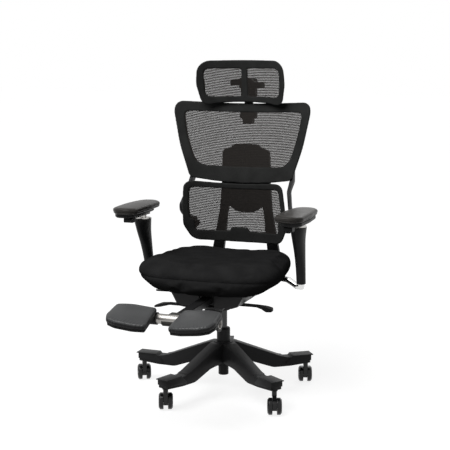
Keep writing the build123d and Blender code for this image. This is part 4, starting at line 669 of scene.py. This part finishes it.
# Seen from above, x outward and y to the rear.
PAD_OUTLINE = [(-68, 76), (-80, -52), (-36, -62), (30, -60), (62, -48), (74, -20), (72, 58), (20, 76)]
PAD_RADII = [8, 10, 60, 60, 18, 24, 12, 90]
TRAY_THICKNESS = 7  # the steel tray under the pad
TRAY_INSET = 4
CROSS_TUBE = (-497, 382)  # its axis in y and z
CROSS_HALF_LENGTH = 172
CROSS_RADIUS = 17
CROSS_BORE = 14
SLEEVE_RADIUS = 21  # the tray's sleeve, which turns on the tube
SLEEVE_ENDS = (49, 170)
FLANGE_RADIUS = 26
FLANGE_ENDS = (165, 171)
TURNING_GAP = 0.5
CUT_ENDS = (20, 230)  # from end to end of what is cut through a pad or tray


def pad_frame():
    """Matrix from the pad's own plane to the chair."""
    across = Vector((cos(PAD_CANT), 0, sin(PAD_CANT)))
    up = Vector((-sin(PAD_CANT) * cos(PAD_SLOPE), -sin(PAD_SLOPE), cos(PAD_SLOPE) * cos(PAD_CANT)))
    up.normalize()
    along = up.cross(across)
    return Matrix.Translation(PAD_CENTRE) @ Matrix((across, along, up)).transposed().to_4x4()


def build_footrest():
    """Two leather pads on steel trays, whose sleeves turn on a cross tube."""
    place = pad_frame()
    back = place.inverted()
    wide, long = PAD_CROWN_REACH
    for side_name, side in SIDES:
        def crowned(flat):
            """Crowns the flat pad and lays it in its place on the footrest."""
            shape = Vector(flat)
            if shape.z > PAD_CROWN_FROM:
                across, along = max(0.0, 1 - (shape.x / wide) ** 2), max(0.0, 1 - (shape.y / long) ** 2)
                shape.z += PAD_CROWN * across * along
            laid = place @ shape
            return Vector((laid.x * side, laid.y, laid.z))
        bore = rod(CROSS_TUBE, SLEEVE_RADIUS + TURNING_GAP, CUT_ENDS)
        bmesh.ops.transform(bore, matrix=back, verts=bore.verts)
        form = combined(plate([rounded(PAD_OUTLINE, PAD_RADII)], "z", -PAD_THICKNESS, 0, rim=PAD_RIM),
                        ("DIFFERENCE", bore))
        pad = padded_form(f"footrest_cushion_{side_name}", form, f"footrest_pad_{side_name}", pad_leather,
                          f"footrest_{side_name}", voxel=0.0035, shrink=0.0005,
                          pressure=2.0, reach=0.003, smooth_steps=5, reshape=crowned)
        # painted shade on the pad's side wall
        paint_side_shade(pad, back, side)
        gather_front(pad, back, side)
        tray = plate([rounded(PAD_OUTLINE, PAD_RADII)], "z", -PAD_THICKNESS - TRAY_THICKNESS,
                     -PAD_THICKNESS, inset=TRAY_INSET)
        bmesh.ops.transform(tray, matrix=place, verts=tray.verts)
        tray = combined(tray, ("UNION", rod(CROSS_TUBE, SLEEVE_RADIUS, SLEEVE_ENDS)),
                        ("UNION", rod(CROSS_TUBE, FLANGE_RADIUS, FLANGE_ENDS)),
                        ("DIFFERENCE", rod(CROSS_TUBE, CROSS_RADIUS + TURNING_GAP, CUT_ENDS)))
        hard_piece(turned(tray, side), f"footrest_tray_{side_name}", shell_steel, f"footrest_{side_name}",
                   [f"footrest_shell_{side_name}"])
    tube = plate([circle(CROSS_TUBE, CROSS_RADIUS), circle(CROSS_TUBE, CROSS_BORE)], "x",
                 -CROSS_HALF_LENGTH, CROSS_HALF_LENGTH)
    hard_piece(tube, "footrest_tube", satin_steel, "footrest_slider", ["footrest_cross_tube"],
               edge=0.4)


def paint_side_shade(pad, back, side):
    """The pad's side wall gets a darker copy of its leather below the top: painted shade where it faces away
    from the lamps.
    """
    pad.data.materials.append(painted_side_shade)
    for face in pad.data.polygons:
        if (back @ Vector((face.center.x * side, face.center.y, face.center.z))).z < PAD_SHADE_TOP:
            face.material_index = 1


GATHERS = 13  # short slanting creases
GATHER_WIDTH = 0.15  # across the pad, which is this wide
GATHER_SLANT = 0.35
GATHER_LINE = -0.052  # where they are deepest, towards the front of the pad
GATHER_SPREAD = 0.011
GATHER_DEPTH = 0.0006
GATHER_LOWEST = -0.02


def gather_front(pad, back, side):
    """Short creases where the cover is pulled over the pad's front edge."""
    moved = []
    for vertex in pad.data.vertices:
        flat = back @ Vector((vertex.co.x * side, vertex.co.y, vertex.co.z))
        near = exp(-((flat.y - GATHER_LINE) / GATHER_SPREAD) ** 2)
        if near > 0.02 and flat.z > GATHER_LOWEST:
            turn = (flat.x + GATHER_SLANT * flat.y) * GATHERS * 2 * pi / GATHER_WIDTH
            wave = 0.6 * sin(turn) + 0.4 * sin(1.7 * turn + 1.0)
            moved.append((vertex, vertex.normal * GATHER_DEPTH * near * wave))
    for vertex, move in moved:
        vertex.co += move


ARM_X = 297  # middle of the arm's post at the foot of its sleeve
ARM_Y = 5
ARM_LEAN = tan(radians(9))
POST_HALF_WIDTH = 10
POST_HALF_LENGTH = 13
POST_CORNER = 5
POST_BOTTOM = 411
POST_TOP = 585
POST_GAP = 0.6  # between the post and its sleeve
SLEEVE_BOTTOM = 425
SLEEVE_FLARE = 0.018  # how much the sleeve leans outward
ARM_PAD_CENTRE = (305, -88)
ARM_PAD_BOTTOM = 675
ARM_PAD_TOP = 703
ARM_PAD_HALF_LENGTH = 137
ARM_PAD_HALF_WIDTH = 54
ARM_PAD_RIM = 9
ARM_PAD_DOME = (0.0035, 0.003)  # fall of its top towards the sides and the ends
ARM_PAD_DOME_FROM = 8  # what lies further than this below the top stays as it is
ARM_PAD_SEAM = 0.6835


def arm_pad_outline():
    """The left pad from above, a little wider at the front."""
    wide, long = ARM_PAD_HALF_WIDTH, ARM_PAD_HALF_LENGTH
    points = [(-wide + 4, -long + 22), (-20, -long), (26, -long), (wide - 2, -long + 34), (wide, 10),
              (wide - 8, long - 20), (24, long), (-18, long), (-wide + 10, long - 24), (-wide, 0)]
    centred = [(x + ARM_PAD_CENTRE[0], y + ARM_PAD_CENTRE[1]) for x, y in points]
    return rounded(centred, [26, 40, 40, 36, 400, 34, 30, 30, 34, 400])


def arm_pad_crown(co):
    """Gives a pad's top a shallow dome."""
    across = (abs(co.x) - ARM_PAD_CENTRE[0] * MM) / (ARM_PAD_HALF_WIDTH * MM)
    along = (co.y - ARM_PAD_CENTRE[1] * MM) / (ARM_PAD_HALF_LENGTH * MM)
    if co.z < (ARM_PAD_TOP - ARM_PAD_DOME_FROM) * MM:
        return co
    return Vector((co.x, co.y, co.z - ARM_PAD_DOME[0] * across ** 2 - ARM_PAD_DOME[1] * along ** 2))


def build_arm_pads():
    for side_name, side in SIDES:
        form = plate([arm_pad_outline()], "z", ARM_PAD_BOTTOM, ARM_PAD_TOP, rim=ARM_PAD_RIM)
        pad = padded_form(f"arm_cushion_{side_name}", turned(form, side), f"arm_pad_{side_name}", arm_skin,
                          f"arm_pad_{side_name}", voxel=0.0035, shrink=0.0005, pressure=1.0,
                          reach=0.002, smooth_steps=3, reshape=arm_pad_crown)
        press_seam(pad, (0, 0, ARM_PAD_SEAM), (0, 0, 1), depth=0.0022, spread=0.0018)


def leaning(bm):
    """Leans an upright form forward like the arm's post."""
    for vertex in bm.verts:
        vertex.co.y -= ARM_LEAN * (vertex.co.z - SLEEVE_BOTTOM * MM)
    return bm


def post(bottom, top, grow):
    """The arm's inclined post between two heights, or the room for it where it grows by a gap."""
    half_x, half_y = POST_HALF_WIDTH + grow, POST_HALF_LENGTH + grow
    corners = [(ARM_X - half_x, ARM_Y - half_y), (ARM_X + half_x, ARM_Y - half_y),
               (ARM_X + half_x, ARM_Y + half_y), (ARM_X - half_x, ARM_Y + half_y)]
    return leaning(plate([rounded(corners, [POST_CORNER] * 4)], "z", bottom, top))


# The arm bracket from the front: bolted under the seat plate, it rises beside it and reaches out to the post.
BRACKET_FRONT_VIEW = [(112, 398.5), (152, 398.5), (166, 437), (242, 437), (277, 422), (308, 419), (308, 405),
                      (281, 405), (238, 424), (177, 424), (164, 385.5), (112, 385.5)]
BRACKET_FRONT_RADII = [0, 2, 10, 16, 10, 5, 5, 14, 14, 3, 8, 0]
BRACKET_ENDS = (-22, 118)  # front and rear of what is cut to the front view, and
BRACKET_HEIGHTS = (378, 458)  # bottom and top of what is cut to the plan
BRACKET_PLAN = [(112, 31), (200, 31), (277, -3), (305, -9), (308, 13), (285, 27), (215, 65), (112, 65)]
BRACKET_PLAN_RADII = [0, 50, 20, 8, 10, 16, 40, 0]
# The sleeve's oval sections: height, width in x, length in y, centre in y.
SLEEVE_SECTIONS = [
    (425, 33, 40, 4), (485, 35, 46, -8), (542, 38, 64, -24), (592, 43, 86, -41), (628, 52, 96, -49),
    (639.8, 55, 97, -50)]


def between(sections, steps=5):
    """More sections between the given ones, along smooth curves through them."""
    made = []
    for k in range(len(sections) - 1):
        near = [max(0, min(len(sections) - 1, k + offset)) for offset in (-1, 0, 1, 2)]
        before, here, ahead, after = (Vector(sections[n]) for n in near)
        for step in range(steps):
            t = step / steps
            made.append(here + (ahead - before) * (t / 2)
                        + (before * 2 - here * 5 + ahead * 4 - after) * (t * t / 2)
                        + (here * 3 - before - ahead * 3 + after) * (t ** 3 / 2))
    return made + [Vector(sections[-1])]


def build_arms():
    """The cast brackets with their inclined posts, and the sleeves that slide on them."""
    for side_name, side in SIDES:
        bracket = combined(slab(BRACKET_FRONT_VIEW, BRACKET_FRONT_RADII, "y", BRACKET_ENDS),
                           ("INTERSECT", slab(BRACKET_PLAN, BRACKET_PLAN_RADII, "z", BRACKET_HEIGHTS)),
                           ("UNION", post(POST_BOTTOM, POST_TOP, 0)))
        hard_piece(turned(bracket, side), f"arm_casting_{side_name}", aluminium, "seat_carrier",
                   [f"arm_bracket_{side_name}"], 1.2)
        rings = []
        for z, width, length, centre in between(SLEEVE_SECTIONS):
            middle = ARM_X + (z - SLEEVE_BOTTOM) * SLEEVE_FLARE
            rings.append([(MM * (middle + p.x * width / 2), MM * (centre + p.y * length / 2), MM * z)
                          for p in circle((0, 0), 1, 64)])
        sleeve = combined(lofted(rings), ("DIFFERENCE", post(SLEEVE_BOTTOM - 10, POST_TOP + 5, POST_GAP)))
        hard_piece(turned(sleeve, side), f"arm_shroud_{side_name}", nylon, f"arm_{side_name}",
                   [f"arm_sleeve_{side_name}"], 1.5)


# ---------------------------------------------------------------- base
LEG_COUNT = 5
LEG_START = 179.4  # direction of the first leg, degrees from +X
# The legs' ends are lower and shorter than the CAD's, to go under their caps.
LEG_END_START = 0.236  # distance from the column where they begin
LEG_END_CREST = 0.109  # what rises above this there
LEG_END_TOP = 0.111  # comes down to this
LEG_TIP_START = 0.338  # what lies further out than this
LEG_TIP_SHARE = 0.3365 / 0.345  # is drawn in by this share
# A cap, its brim and the room inside it from the side, as distance from the column and height.
CAP_SIDE_VIEW = [(262, 112), (266, 117), (339, 117), (339, 94), (240, 84), (238, 91)]
CAP_SIDES = (-24.5, 24.5)
CAP_BRIM_VIEW = [(264, 113.5), (268, 117.5), (346, 117.5), (346, 114.5)]
BRIM_SIDES = (-26, 26)
CAP_ROOM = [(200, 60), (336.6, 60), (336.6, 111.1), (200, 111.1)]
CAP_ROOM_SIDES = (-22.1, 22.1)
# The column's tube, as radius and height.
TUBE_PROFILE = [(0, 61), (18, 61), (19, 62), (19, 98), (23, 100), (25, 188), (25, 235.5), (23.5, 237),
                (16.5, 237), (16.5, 66), (0, 66)]
GUIDE_RISE = 0.032  # how much higher the column's guide sits with its tube


def build_base():
    """The star with its clip-on caps and their overhanging brims, and the column's tube and collar."""
    star = node_copy("base_star")
    for vertex in star.verts:
        reach = Vector(vertex.co.xy).length
        if reach > LEG_END_START and vertex.co.z > LEG_END_CREST:
            vertex.co.z = LEG_END_TOP
        if reach > LEG_TIP_START:
            vertex.co.xy *= LEG_TIP_SHARE
    hard_piece(star, "star_base", nylon, "base", ["base_star"], 1.5)
    caps = bmesh.new()
    cap = combined(slab(CAP_SIDE_VIEW, [0, 3, 3, 2, 0, 0], "y", CAP_SIDES),
                   ("UNION", slab(CAP_BRIM_VIEW, [0, 1, 0, 0], "y", BRIM_SIDES)),
                   ("DIFFERENCE", slab(CAP_ROOM, [0] * 4, "y", CAP_ROOM_SIDES)))
    for leg in range(LEG_COUNT):
        single = bpy.data.meshes.new("single")
        cap.to_mesh(single)
        single.transform(Matrix.Rotation(radians(LEG_START + 360 / LEG_COUNT * leg), 4, "Z"))
        caps.from_mesh(single)
    hard_piece(caps, "leg_end_caps", nylon, "base", ["leg_caps"], 0.8)
    hard_piece(lathe(TUBE_PROFILE, 64), "column_sleeve", black_steel, "base", ["column_tube"],
               edge=0)
    guide = node_copy("column_guide")
    bmesh.ops.translate(guide, vec=(0, 0, GUIDE_RISE), verts=guide.verts)
    hard_piece(guide, "column_collar", nylon, "base", ["column_guide"], 0.3)


# ---------------------------------------------------------------- mesh panels
# A panel's front face bends round the sitter on a radius and leans: its plan radius, its front at the
# middle of its foot, its foot's height and its lean.
UPPER = (0.600, 0.206, 0.739, 0.15)
LUMBAR = (0.360, 0.188, 0.526, -0.198)
HEAD = (0.288, 0.243, 1.048, -0.147)
MESH_DEPTH = 2.2  # how far the mesh lies behind the border's face
SHEET_INSET = 4  # how far its edge lies inside the border's outline
BORDER_DEPTH = 9
BORDER_RIM = 3
BORDER_OVERLAP = 5  # how far the moulded frame reaches forward into the border
MOULDING_INSET = 2.5
PANEL_VOXEL = 0.003
STRIPS = range(-28, 29)  # the mesh is cut into upright strips, so that it can bend
STRIP_WIDTH = 0.01
STRIP_SHIFT = 0.0003  # keeps the cuts off the corners of the outline


def on_panel(bm, panel):
    """Bends a flat form, whose depth is y, onto a panel's front face."""
    radius, front, foot, lean = panel
    for vertex in bm.verts:
        across = min(abs(vertex.co.x), radius * 0.95)
        vertex.co.y += front - radius + sqrt(radius ** 2 - across ** 2) + lean * (vertex.co.z - foot)
    return bm


def raised(points, panel):
    """An outline moved up to the height of its panel's foot."""
    return [(x, panel[2] / MM + z) for x, z in points]


def build_panel(name, ring_name, body, panel, outline, windows, depth, lugs=()):
    """Stretched mesh, the fabric border wrapped round its edge, and the moulded frame behind them."""
    sheet = plate([outline], "y", 0, 0.002, inset=SHEET_INSET)
    bmesh.ops.delete(sheet, geom=[f for f in sheet.faces if f.normal.y > -0.5], context="FACES")
    for step in STRIPS:
        bmesh.ops.bisect_plane(sheet, geom=sheet.verts[:] + sheet.edges[:] + sheet.faces[:],
                               plane_co=(step * STRIP_WIDTH + STRIP_SHIFT, 0, 0), plane_no=(1, 0, 0))
    bmesh.ops.translate(sheet, vec=(0, MESH_DEPTH * MM, 0), verts=sheet.verts)
    on_panel(sheet, panel)
    area = sum(f.calc_area() for f in sheet.faces)
    woven = mesh_object(sheet, f"{name}_weave", mesh_weave, body)
    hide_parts(name)
    for piece_name, front, back, inset, material, slot, replaced in (
            (f"{name}_border", 0, BORDER_DEPTH, 0, border_fabric, "mesh_fabric", None),
            (f"{ring_name}_moulding", BORDER_DEPTH - BORDER_OVERLAP, depth, MOULDING_INSET, nylon,
             "nylon_black", [ring_name])):
        ring = plate([outline, *windows], "y", front, back, rim=BORDER_RIM, inset=inset)
        flat = mesh_object(ring, piece_name, material, None)
        remesh(flat, PANEL_VOXEL, smooth_steps=1)
        bm = bmesh.new()
        bm.from_mesh(flat.data)
        bpy.data.objects.remove(flat)
        on_panel(bm, panel)
        if replaced and lugs:
            bm = combined(bm, *[("UNION", form) for form in lugs])
        piece = mesh_object(bm, piece_name, material, body)
        if replaced:
            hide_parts(*replaced)


def whole_outline(points, radii, panel):
    """A panel's rounded outline from one half of it."""
    lifted = raised(points, panel)
    return rounded(both_halves(lifted), both_radii(lifted, radii))


LUMBAR_PIVOT = (172, 600)  # its axis in y and z
LUMBAR_LUG = [(140, 588), (183, 588), (183, 612), (140, 612)]
LUG_ENDS = (166, 176.7)
PIVOT_PIN_RADIUS = 5
PIVOT_PIN_ENDS = (160, 197)
PIVOT_HOLE_RADIUS = 5.4
PIVOT_HOLE_ENDS = (170, 199)


def lumbar_lugs():
    """Lugs and pins on which the lumbar frame rocks."""
    forms = []
    for _, side in SIDES:
        lug = combined(slab(LUMBAR_LUG, [0, 8, 8, 0], "x", LUG_ENDS),
                       ("UNION", rod(LUMBAR_PIVOT, PIVOT_PIN_RADIUS, PIVOT_PIN_ENDS)))
        forms.append(turned(lug, side))
    return forms


# One half of each border and window, x outward and z up from the panel's foot, and its corner radii.
UPPER_BORDER = ([(0, 0), (205, 37), (246, 160), (271, 284), (269, 329), (0, 315)],
                [1000, 26, 500, 60, 28, 3000])
UPPER_WINDOW = ([(0, 77), (182, 84), (219, 187), (236, 290), (0, 283)], [2000, 58, 500, 16, 3000])
LUMBAR_BORDER = ([(0, 0), (178, 12), (207, 74), (203, 154), (194, 246), (150, 244), (0, 229)],
                 [2000, 44, 60, 200, 30, 200, 1200])
LUMBAR_WINDOW = ([(0, 64), (30, 64), (40, 48), (166, 51), (166, 94), (181, 98), (183, 139), (176, 221),
                  (0, 211)], [0, 6, 6, 8, 4, 6, 200, 14, 2000])
HEAD_BORDER = ([(0, 17), (90, 12), (159, 0), (176, 82), (170, 172), (0, 174)], [1200, 200, 30, 80, 50, 3000])
# The headrest has a window on either side of its middle bar.
HEAD_WINDOW = [(12.5, 38), (146, 36), (150, 141), (12.5, 142)]
HEAD_WINDOW_RADII = [4, 18, 20, 4]
UPPER_DEPTH, LUMBAR_DEPTH, HEAD_DEPTH = 22, 20, 17


def build_mesh_panels():
    build_panel("upper_back_mesh", "upper_back_frame", "backrest", UPPER,
                whole_outline(*UPPER_BORDER, UPPER), [whole_outline(*UPPER_WINDOW, UPPER)], UPPER_DEPTH)
    build_panel("lumbar_mesh", "lumbar_frame", "lumbar", LUMBAR,
                whole_outline(*LUMBAR_BORDER, LUMBAR), [whole_outline(*LUMBAR_WINDOW, LUMBAR)],
                LUMBAR_DEPTH, lumbar_lugs())
    window = raised(HEAD_WINDOW, HEAD)
    windows = [rounded(points, HEAD_WINDOW_RADII) for points in (window, [(-x, z) for x, z in window])]
    build_panel("headrest_mesh", "headrest_frame", "headrest", HEAD,
                whole_outline(*HEAD_BORDER, HEAD), windows, HEAD_DEPTH)


# ---------------------------------------------------------------- back structure
# The side strut from the front: a thin blade that turns inward to the lumbar block.
STRUT_FRONT_VIEW = [(196, 815), (206, 815), (206, 737), (222, 677), (222, 636), (207, 608), (207, 578),
                    (177, 578), (177, 622), (199, 626), (212, 652), (212, 677), (196, 737)]
STRUT_FRONT_RADII = [3, 3, 50, 30, 24, 12, 6, 4, 4, 10, 20, 30, 50]
# And from the side: it swings forward below the upper back and returns to the lumbar pivot.
STRUT_SIDE_VIEW = [(190, 815), (190, 783), (148, 737), (114, 677), (116, 654), (161, 616), (161, 578),
                   (187, 578), (187, 626), (140, 660), (138, 681), (172, 733), (222, 767), (222, 815)]
STRUT_SIDE_RADII = [3, 16, 40, 30, 22, 12, 6, 6, 16, 20, 20, 40, 16, 3]
STRUT_DEPTHS = (50, 300)  # y of what is cut to the front view, and
STRUT_SIDES = (150, 250)  # x of what is cut to the side view
# The plate behind the headrest from the front, and the knuckles that hold it on its pin.
HINGE_PLATE = [(-60, 1125.5), (-24, 1125.5), (-24, 1115.5), (60, 1115.5), (60, 1138.5), (34, 1138.5),
               (19, 1154), (-24, 1154), (-24, 1148.5), (-60, 1148.5)]
HINGE_PLATE_RADII = [4, 2, 2, 6, 6, 8, 8, 2, 2, 4]
HINGE_PLATE_DEPTHS = (242, 262)
HEAD_HINGE = (284, 1132)  # its axis in y and z
HINGE_BORE = 4.2
HINGE_BORE_ENDS = (-70, 70)
KNUCKLE_DEPTHS = (255, 298)
KNUCKLE_ENDS = (29.5, 60)
KNUCKLE_HALF_HEIGHT = 11.5
KNUCKLE_OFFSET = 5  # the left knuckle is this much below the pin, the right one above
# The recline yoke from the side, from behind and, for the arms to the recline pins, from the side again.
YOKE_SIDE_VIEW = [(196, 338), (263, 338), (263, 470), (247, 470), (247, 402), (225, 372), (196, 372)]
YOKE_OUTSIDE = [(140, 470), (140, 436), (98, 378), (90, 338)]
YOKE_INSIDE = [(92, 480), (92, 444), (58, 386)]
YOKE_SIDES = (-140, 140)
YOKE_DEPTHS = (50, 270)
YOKE_ARM_VIEW = [(75, 364), (200, 372), (200, 338), (75, 336)]
YOKE_ARM_ENDS = (64.5, 79.5)
RECLINE_PIVOT = (75, 350)  # its axis in y and z
RECLINE_EYE_RADIUS = 14
RECLINE_BORE = 6.3


def build_yoke():
    """The uprights behind the seat, leaning in to a short beam on the recline pins."""
    outside = rounded(both_halves(YOKE_OUTSIDE), [0, 40, 20, 6, 6, 20, 40, 0])
    inside = rounded(both_halves(YOKE_INSIDE), [0, 20, 14, 14, 20, 0])
    beam = combined(slab(YOKE_SIDE_VIEW, [4, 22, 0, 0, 30, 4, 4], "x", YOKE_SIDES),
                    ("INTERSECT", plate([outside], "y", *YOKE_DEPTHS)),
                    ("DIFFERENCE", plate([inside], "y", *YOKE_DEPTHS)))
    for _, side in SIDES:
        low, high = sorted(side * end for end in YOKE_ARM_ENDS)
        arm = combined(slab(YOKE_ARM_VIEW, [0] * 4, "x", (low, high)),
                       ("UNION", rod(RECLINE_PIVOT, RECLINE_EYE_RADIUS, (low, high))),
                       ("DIFFERENCE", rod(RECLINE_PIVOT, RECLINE_BORE, (low - 5, high + 5))))
        beam = combined(beam, ("UNION", arm))
    hard_piece(beam, "recline_yoke", black_steel, "back", ["back_yoke"], edge=1.5)


def build_struts():
    """The side struts between the upper back and the lumbar pivots."""
    for side_name, side in SIDES:
        blade = combined(slab(STRUT_FRONT_VIEW, STRUT_FRONT_RADII, "y", STRUT_DEPTHS),
                         ("INTERSECT", slab(STRUT_SIDE_VIEW, STRUT_SIDE_RADII, "x", STRUT_SIDES)),
                         ("DIFFERENCE", rod(LUMBAR_PIVOT, PIVOT_HOLE_RADIUS, PIVOT_HOLE_ENDS)))
        hard_piece(turned(blade, side), f"side_strut_{side_name}", nylon, "backrest",
                   [f"side_arm_{side_name}"], edge=1.5)


def build_headrest_hinge():
    """The plate behind the headrest, with two knuckles on its hinge pin."""
    knuckles = []
    near, far = KNUCKLE_DEPTHS
    for _, side in SIDES:
        middle = HEAD_HINGE[1] - side * KNUCKLE_OFFSET
        low, high = middle - KNUCKLE_HALF_HEIGHT, middle + KNUCKLE_HALF_HEIGHT
        block = rounded([(near, low), (far, low), (far, high), (near, high)], [0, 8, 8, 0])
        knuckles.append(("UNION", plate([block], "x", *sorted(side * end for end in KNUCKLE_ENDS))))
    hinge = combined(slab(HINGE_PLATE, HINGE_PLATE_RADII, "y", HINGE_PLATE_DEPTHS), *knuckles,
                     ("DIFFERENCE", rod(HEAD_HINGE, HINGE_BORE, HINGE_BORE_ENDS)))
    hard_piece(hinge, "headrest_hinge_plate", nylon, "headrest", ["headrest_yoke"], edge=1.0)


# ---------------------------------------------------------------- studio
CAMERA_DISTANCE = 3.988  # from the chair's axis
CAMERA_AZIMUTH = radians(20.2)
CAMERA_HEIGHT = 1.243
CAMERA_HEADING = radians(20.12)
CAMERA_PITCH = radians(8.82)
LENS = 88.0


def build_camera():
    data = bpy.data.cameras.new("camera")
    data.sensor_width = 36.0
    data.lens = LENS
    camera = bpy.data.objects.new("camera", data)
    scene.collection.objects.link(camera)
    camera.location = (sin(CAMERA_AZIMUTH) * CAMERA_DISTANCE, -cos(CAMERA_AZIMUTH) * CAMERA_DISTANCE,
                       CAMERA_HEIGHT)
    camera.rotation_euler = (pi / 2 - CAMERA_PITCH, 0, CAMERA_HEADING)
    scene.camera = camera


def area_light(name, place, target, size, power):
    data = bpy.data.lights.new(name, "AREA")
    data.shape = "RECTANGLE"
    data.size, data.size_y = size
    data.energy = power
    lamp = bpy.data.objects.new(name, data)
    scene.collection.objects.link(lamp)
    lamp.location = place
    lamp.rotation_euler = (Vector(target) - Vector(place)).to_track_quat("-Z", "Y").to_euler()


FLOOR_GLOW_NEAR = 0.84  # the floor's own white under the chair, so that shadows stay faint
FLOOR_GLOW_FAR = 0.965  # and away from it
FLOOR_NEAR = 0.5  # distances from the chair where the one ends
FLOOR_FAR = 2.0  # and the other begins
FLOOR_HALF_SIZE = 30.0
FLOOR_DROP = 0.0005  # the casters stand this much above it
FLOOR_ALBEDO = 0.25
WORLD_LIGHT = 0.15  # how strongly the surroundings light the chair


def white_to_lens(material, level):
    """Emission that only the camera, reflections and see-through surfaces meet."""
    path = node(material, "ShaderNodeLightPath")
    seen = math_node(material, "MAXIMUM", path.outputs["Is Camera Ray"], path.outputs["Is Transmission Ray"])
    seen = math_node(material, "MAXIMUM", seen, path.outputs["Is Glossy Ray"])
    return math_node(material, "MULTIPLY", seen, level)


def build_floor():
    """A floor that takes shadows and shows white of its own."""
    bm = bmesh.new()
    bmesh.ops.create_grid(bm, x_segments=1, y_segments=1, size=FLOOR_HALF_SIZE)
    floor_white = new_material("floor_white", (FLOOR_ALBEDO,) * 3, 0.9, specular=0.0)
    tree = floor_white.node_tree
    away = node(floor_white, "ShaderNodeVectorMath")
    away.operation = "LENGTH"
    join(floor_white, object_coordinates(floor_white), away.inputs[0])
    level = node(floor_white, "ShaderNodeMapRange")
    level.inputs["From Min"].default_value = FLOOR_NEAR
    level.inputs["From Max"].default_value = FLOOR_FAR
    level.inputs["To Min"].default_value = FLOOR_GLOW_NEAR
    level.inputs["To Max"].default_value = FLOOR_GLOW_FAR
    join(floor_white, away.outputs["Value"], level.inputs["Value"])
    glow = node(floor_white, "ShaderNodeEmission")
    join(floor_white, white_to_lens(floor_white, level.outputs["Result"]), glow.inputs["Strength"])
    add = node(floor_white, "ShaderNodeAddShader")
    join(floor_white, tree.nodes["Principled BSDF"].outputs[0], add.inputs[0])
    join(floor_white, glow.outputs[0], add.inputs[1])
    join(floor_white, add.outputs[0], tree.nodes["Material Output"].inputs["Surface"])
    floor = mesh_object(bm, "floor", floor_white, None)
    floor.location.z = -FLOOR_DROP


def build_world():
    """White to the lens, and a soft even light on the chair."""
    world = bpy.data.worlds.new("studio")
    scene.world = world
    world.use_nodes = True
    back = world.node_tree.nodes["Background"]
    back.inputs["Color"].default_value = (1, 1, 1, 1)
    share = white_to_lens(world, 1.0 - WORLD_LIGHT)
    join(world, math_node(world, "ADD", share, WORLD_LIGHT), back.inputs["Strength"])


def build_studio():
    build_camera()
    build_floor()
    build_world()
    area_light("overhead", place=(-0.8, -2.0, 3.2), target=(0, 0, 0.6), size=(2.6, 2.0), power=130)
    area_light("fill", place=(2.6, -1.8, 1.7), target=(0, 0, 0.7), size=(1.4, 1.4), power=3)
    area_light("back", place=(0.4, 2.4, 2.6), target=(0, 0, 0.8), size=(1.8, 1.0), power=26)
    scene.view_settings.view_transform = "Standard"


finish_cad_nodes()
build_seat()
build_footrest()
build_arm_pads()
build_arms()
build_base()
build_mesh_panels()
build_yoke()
build_struts()
build_headrest_hinge()
build_studio()
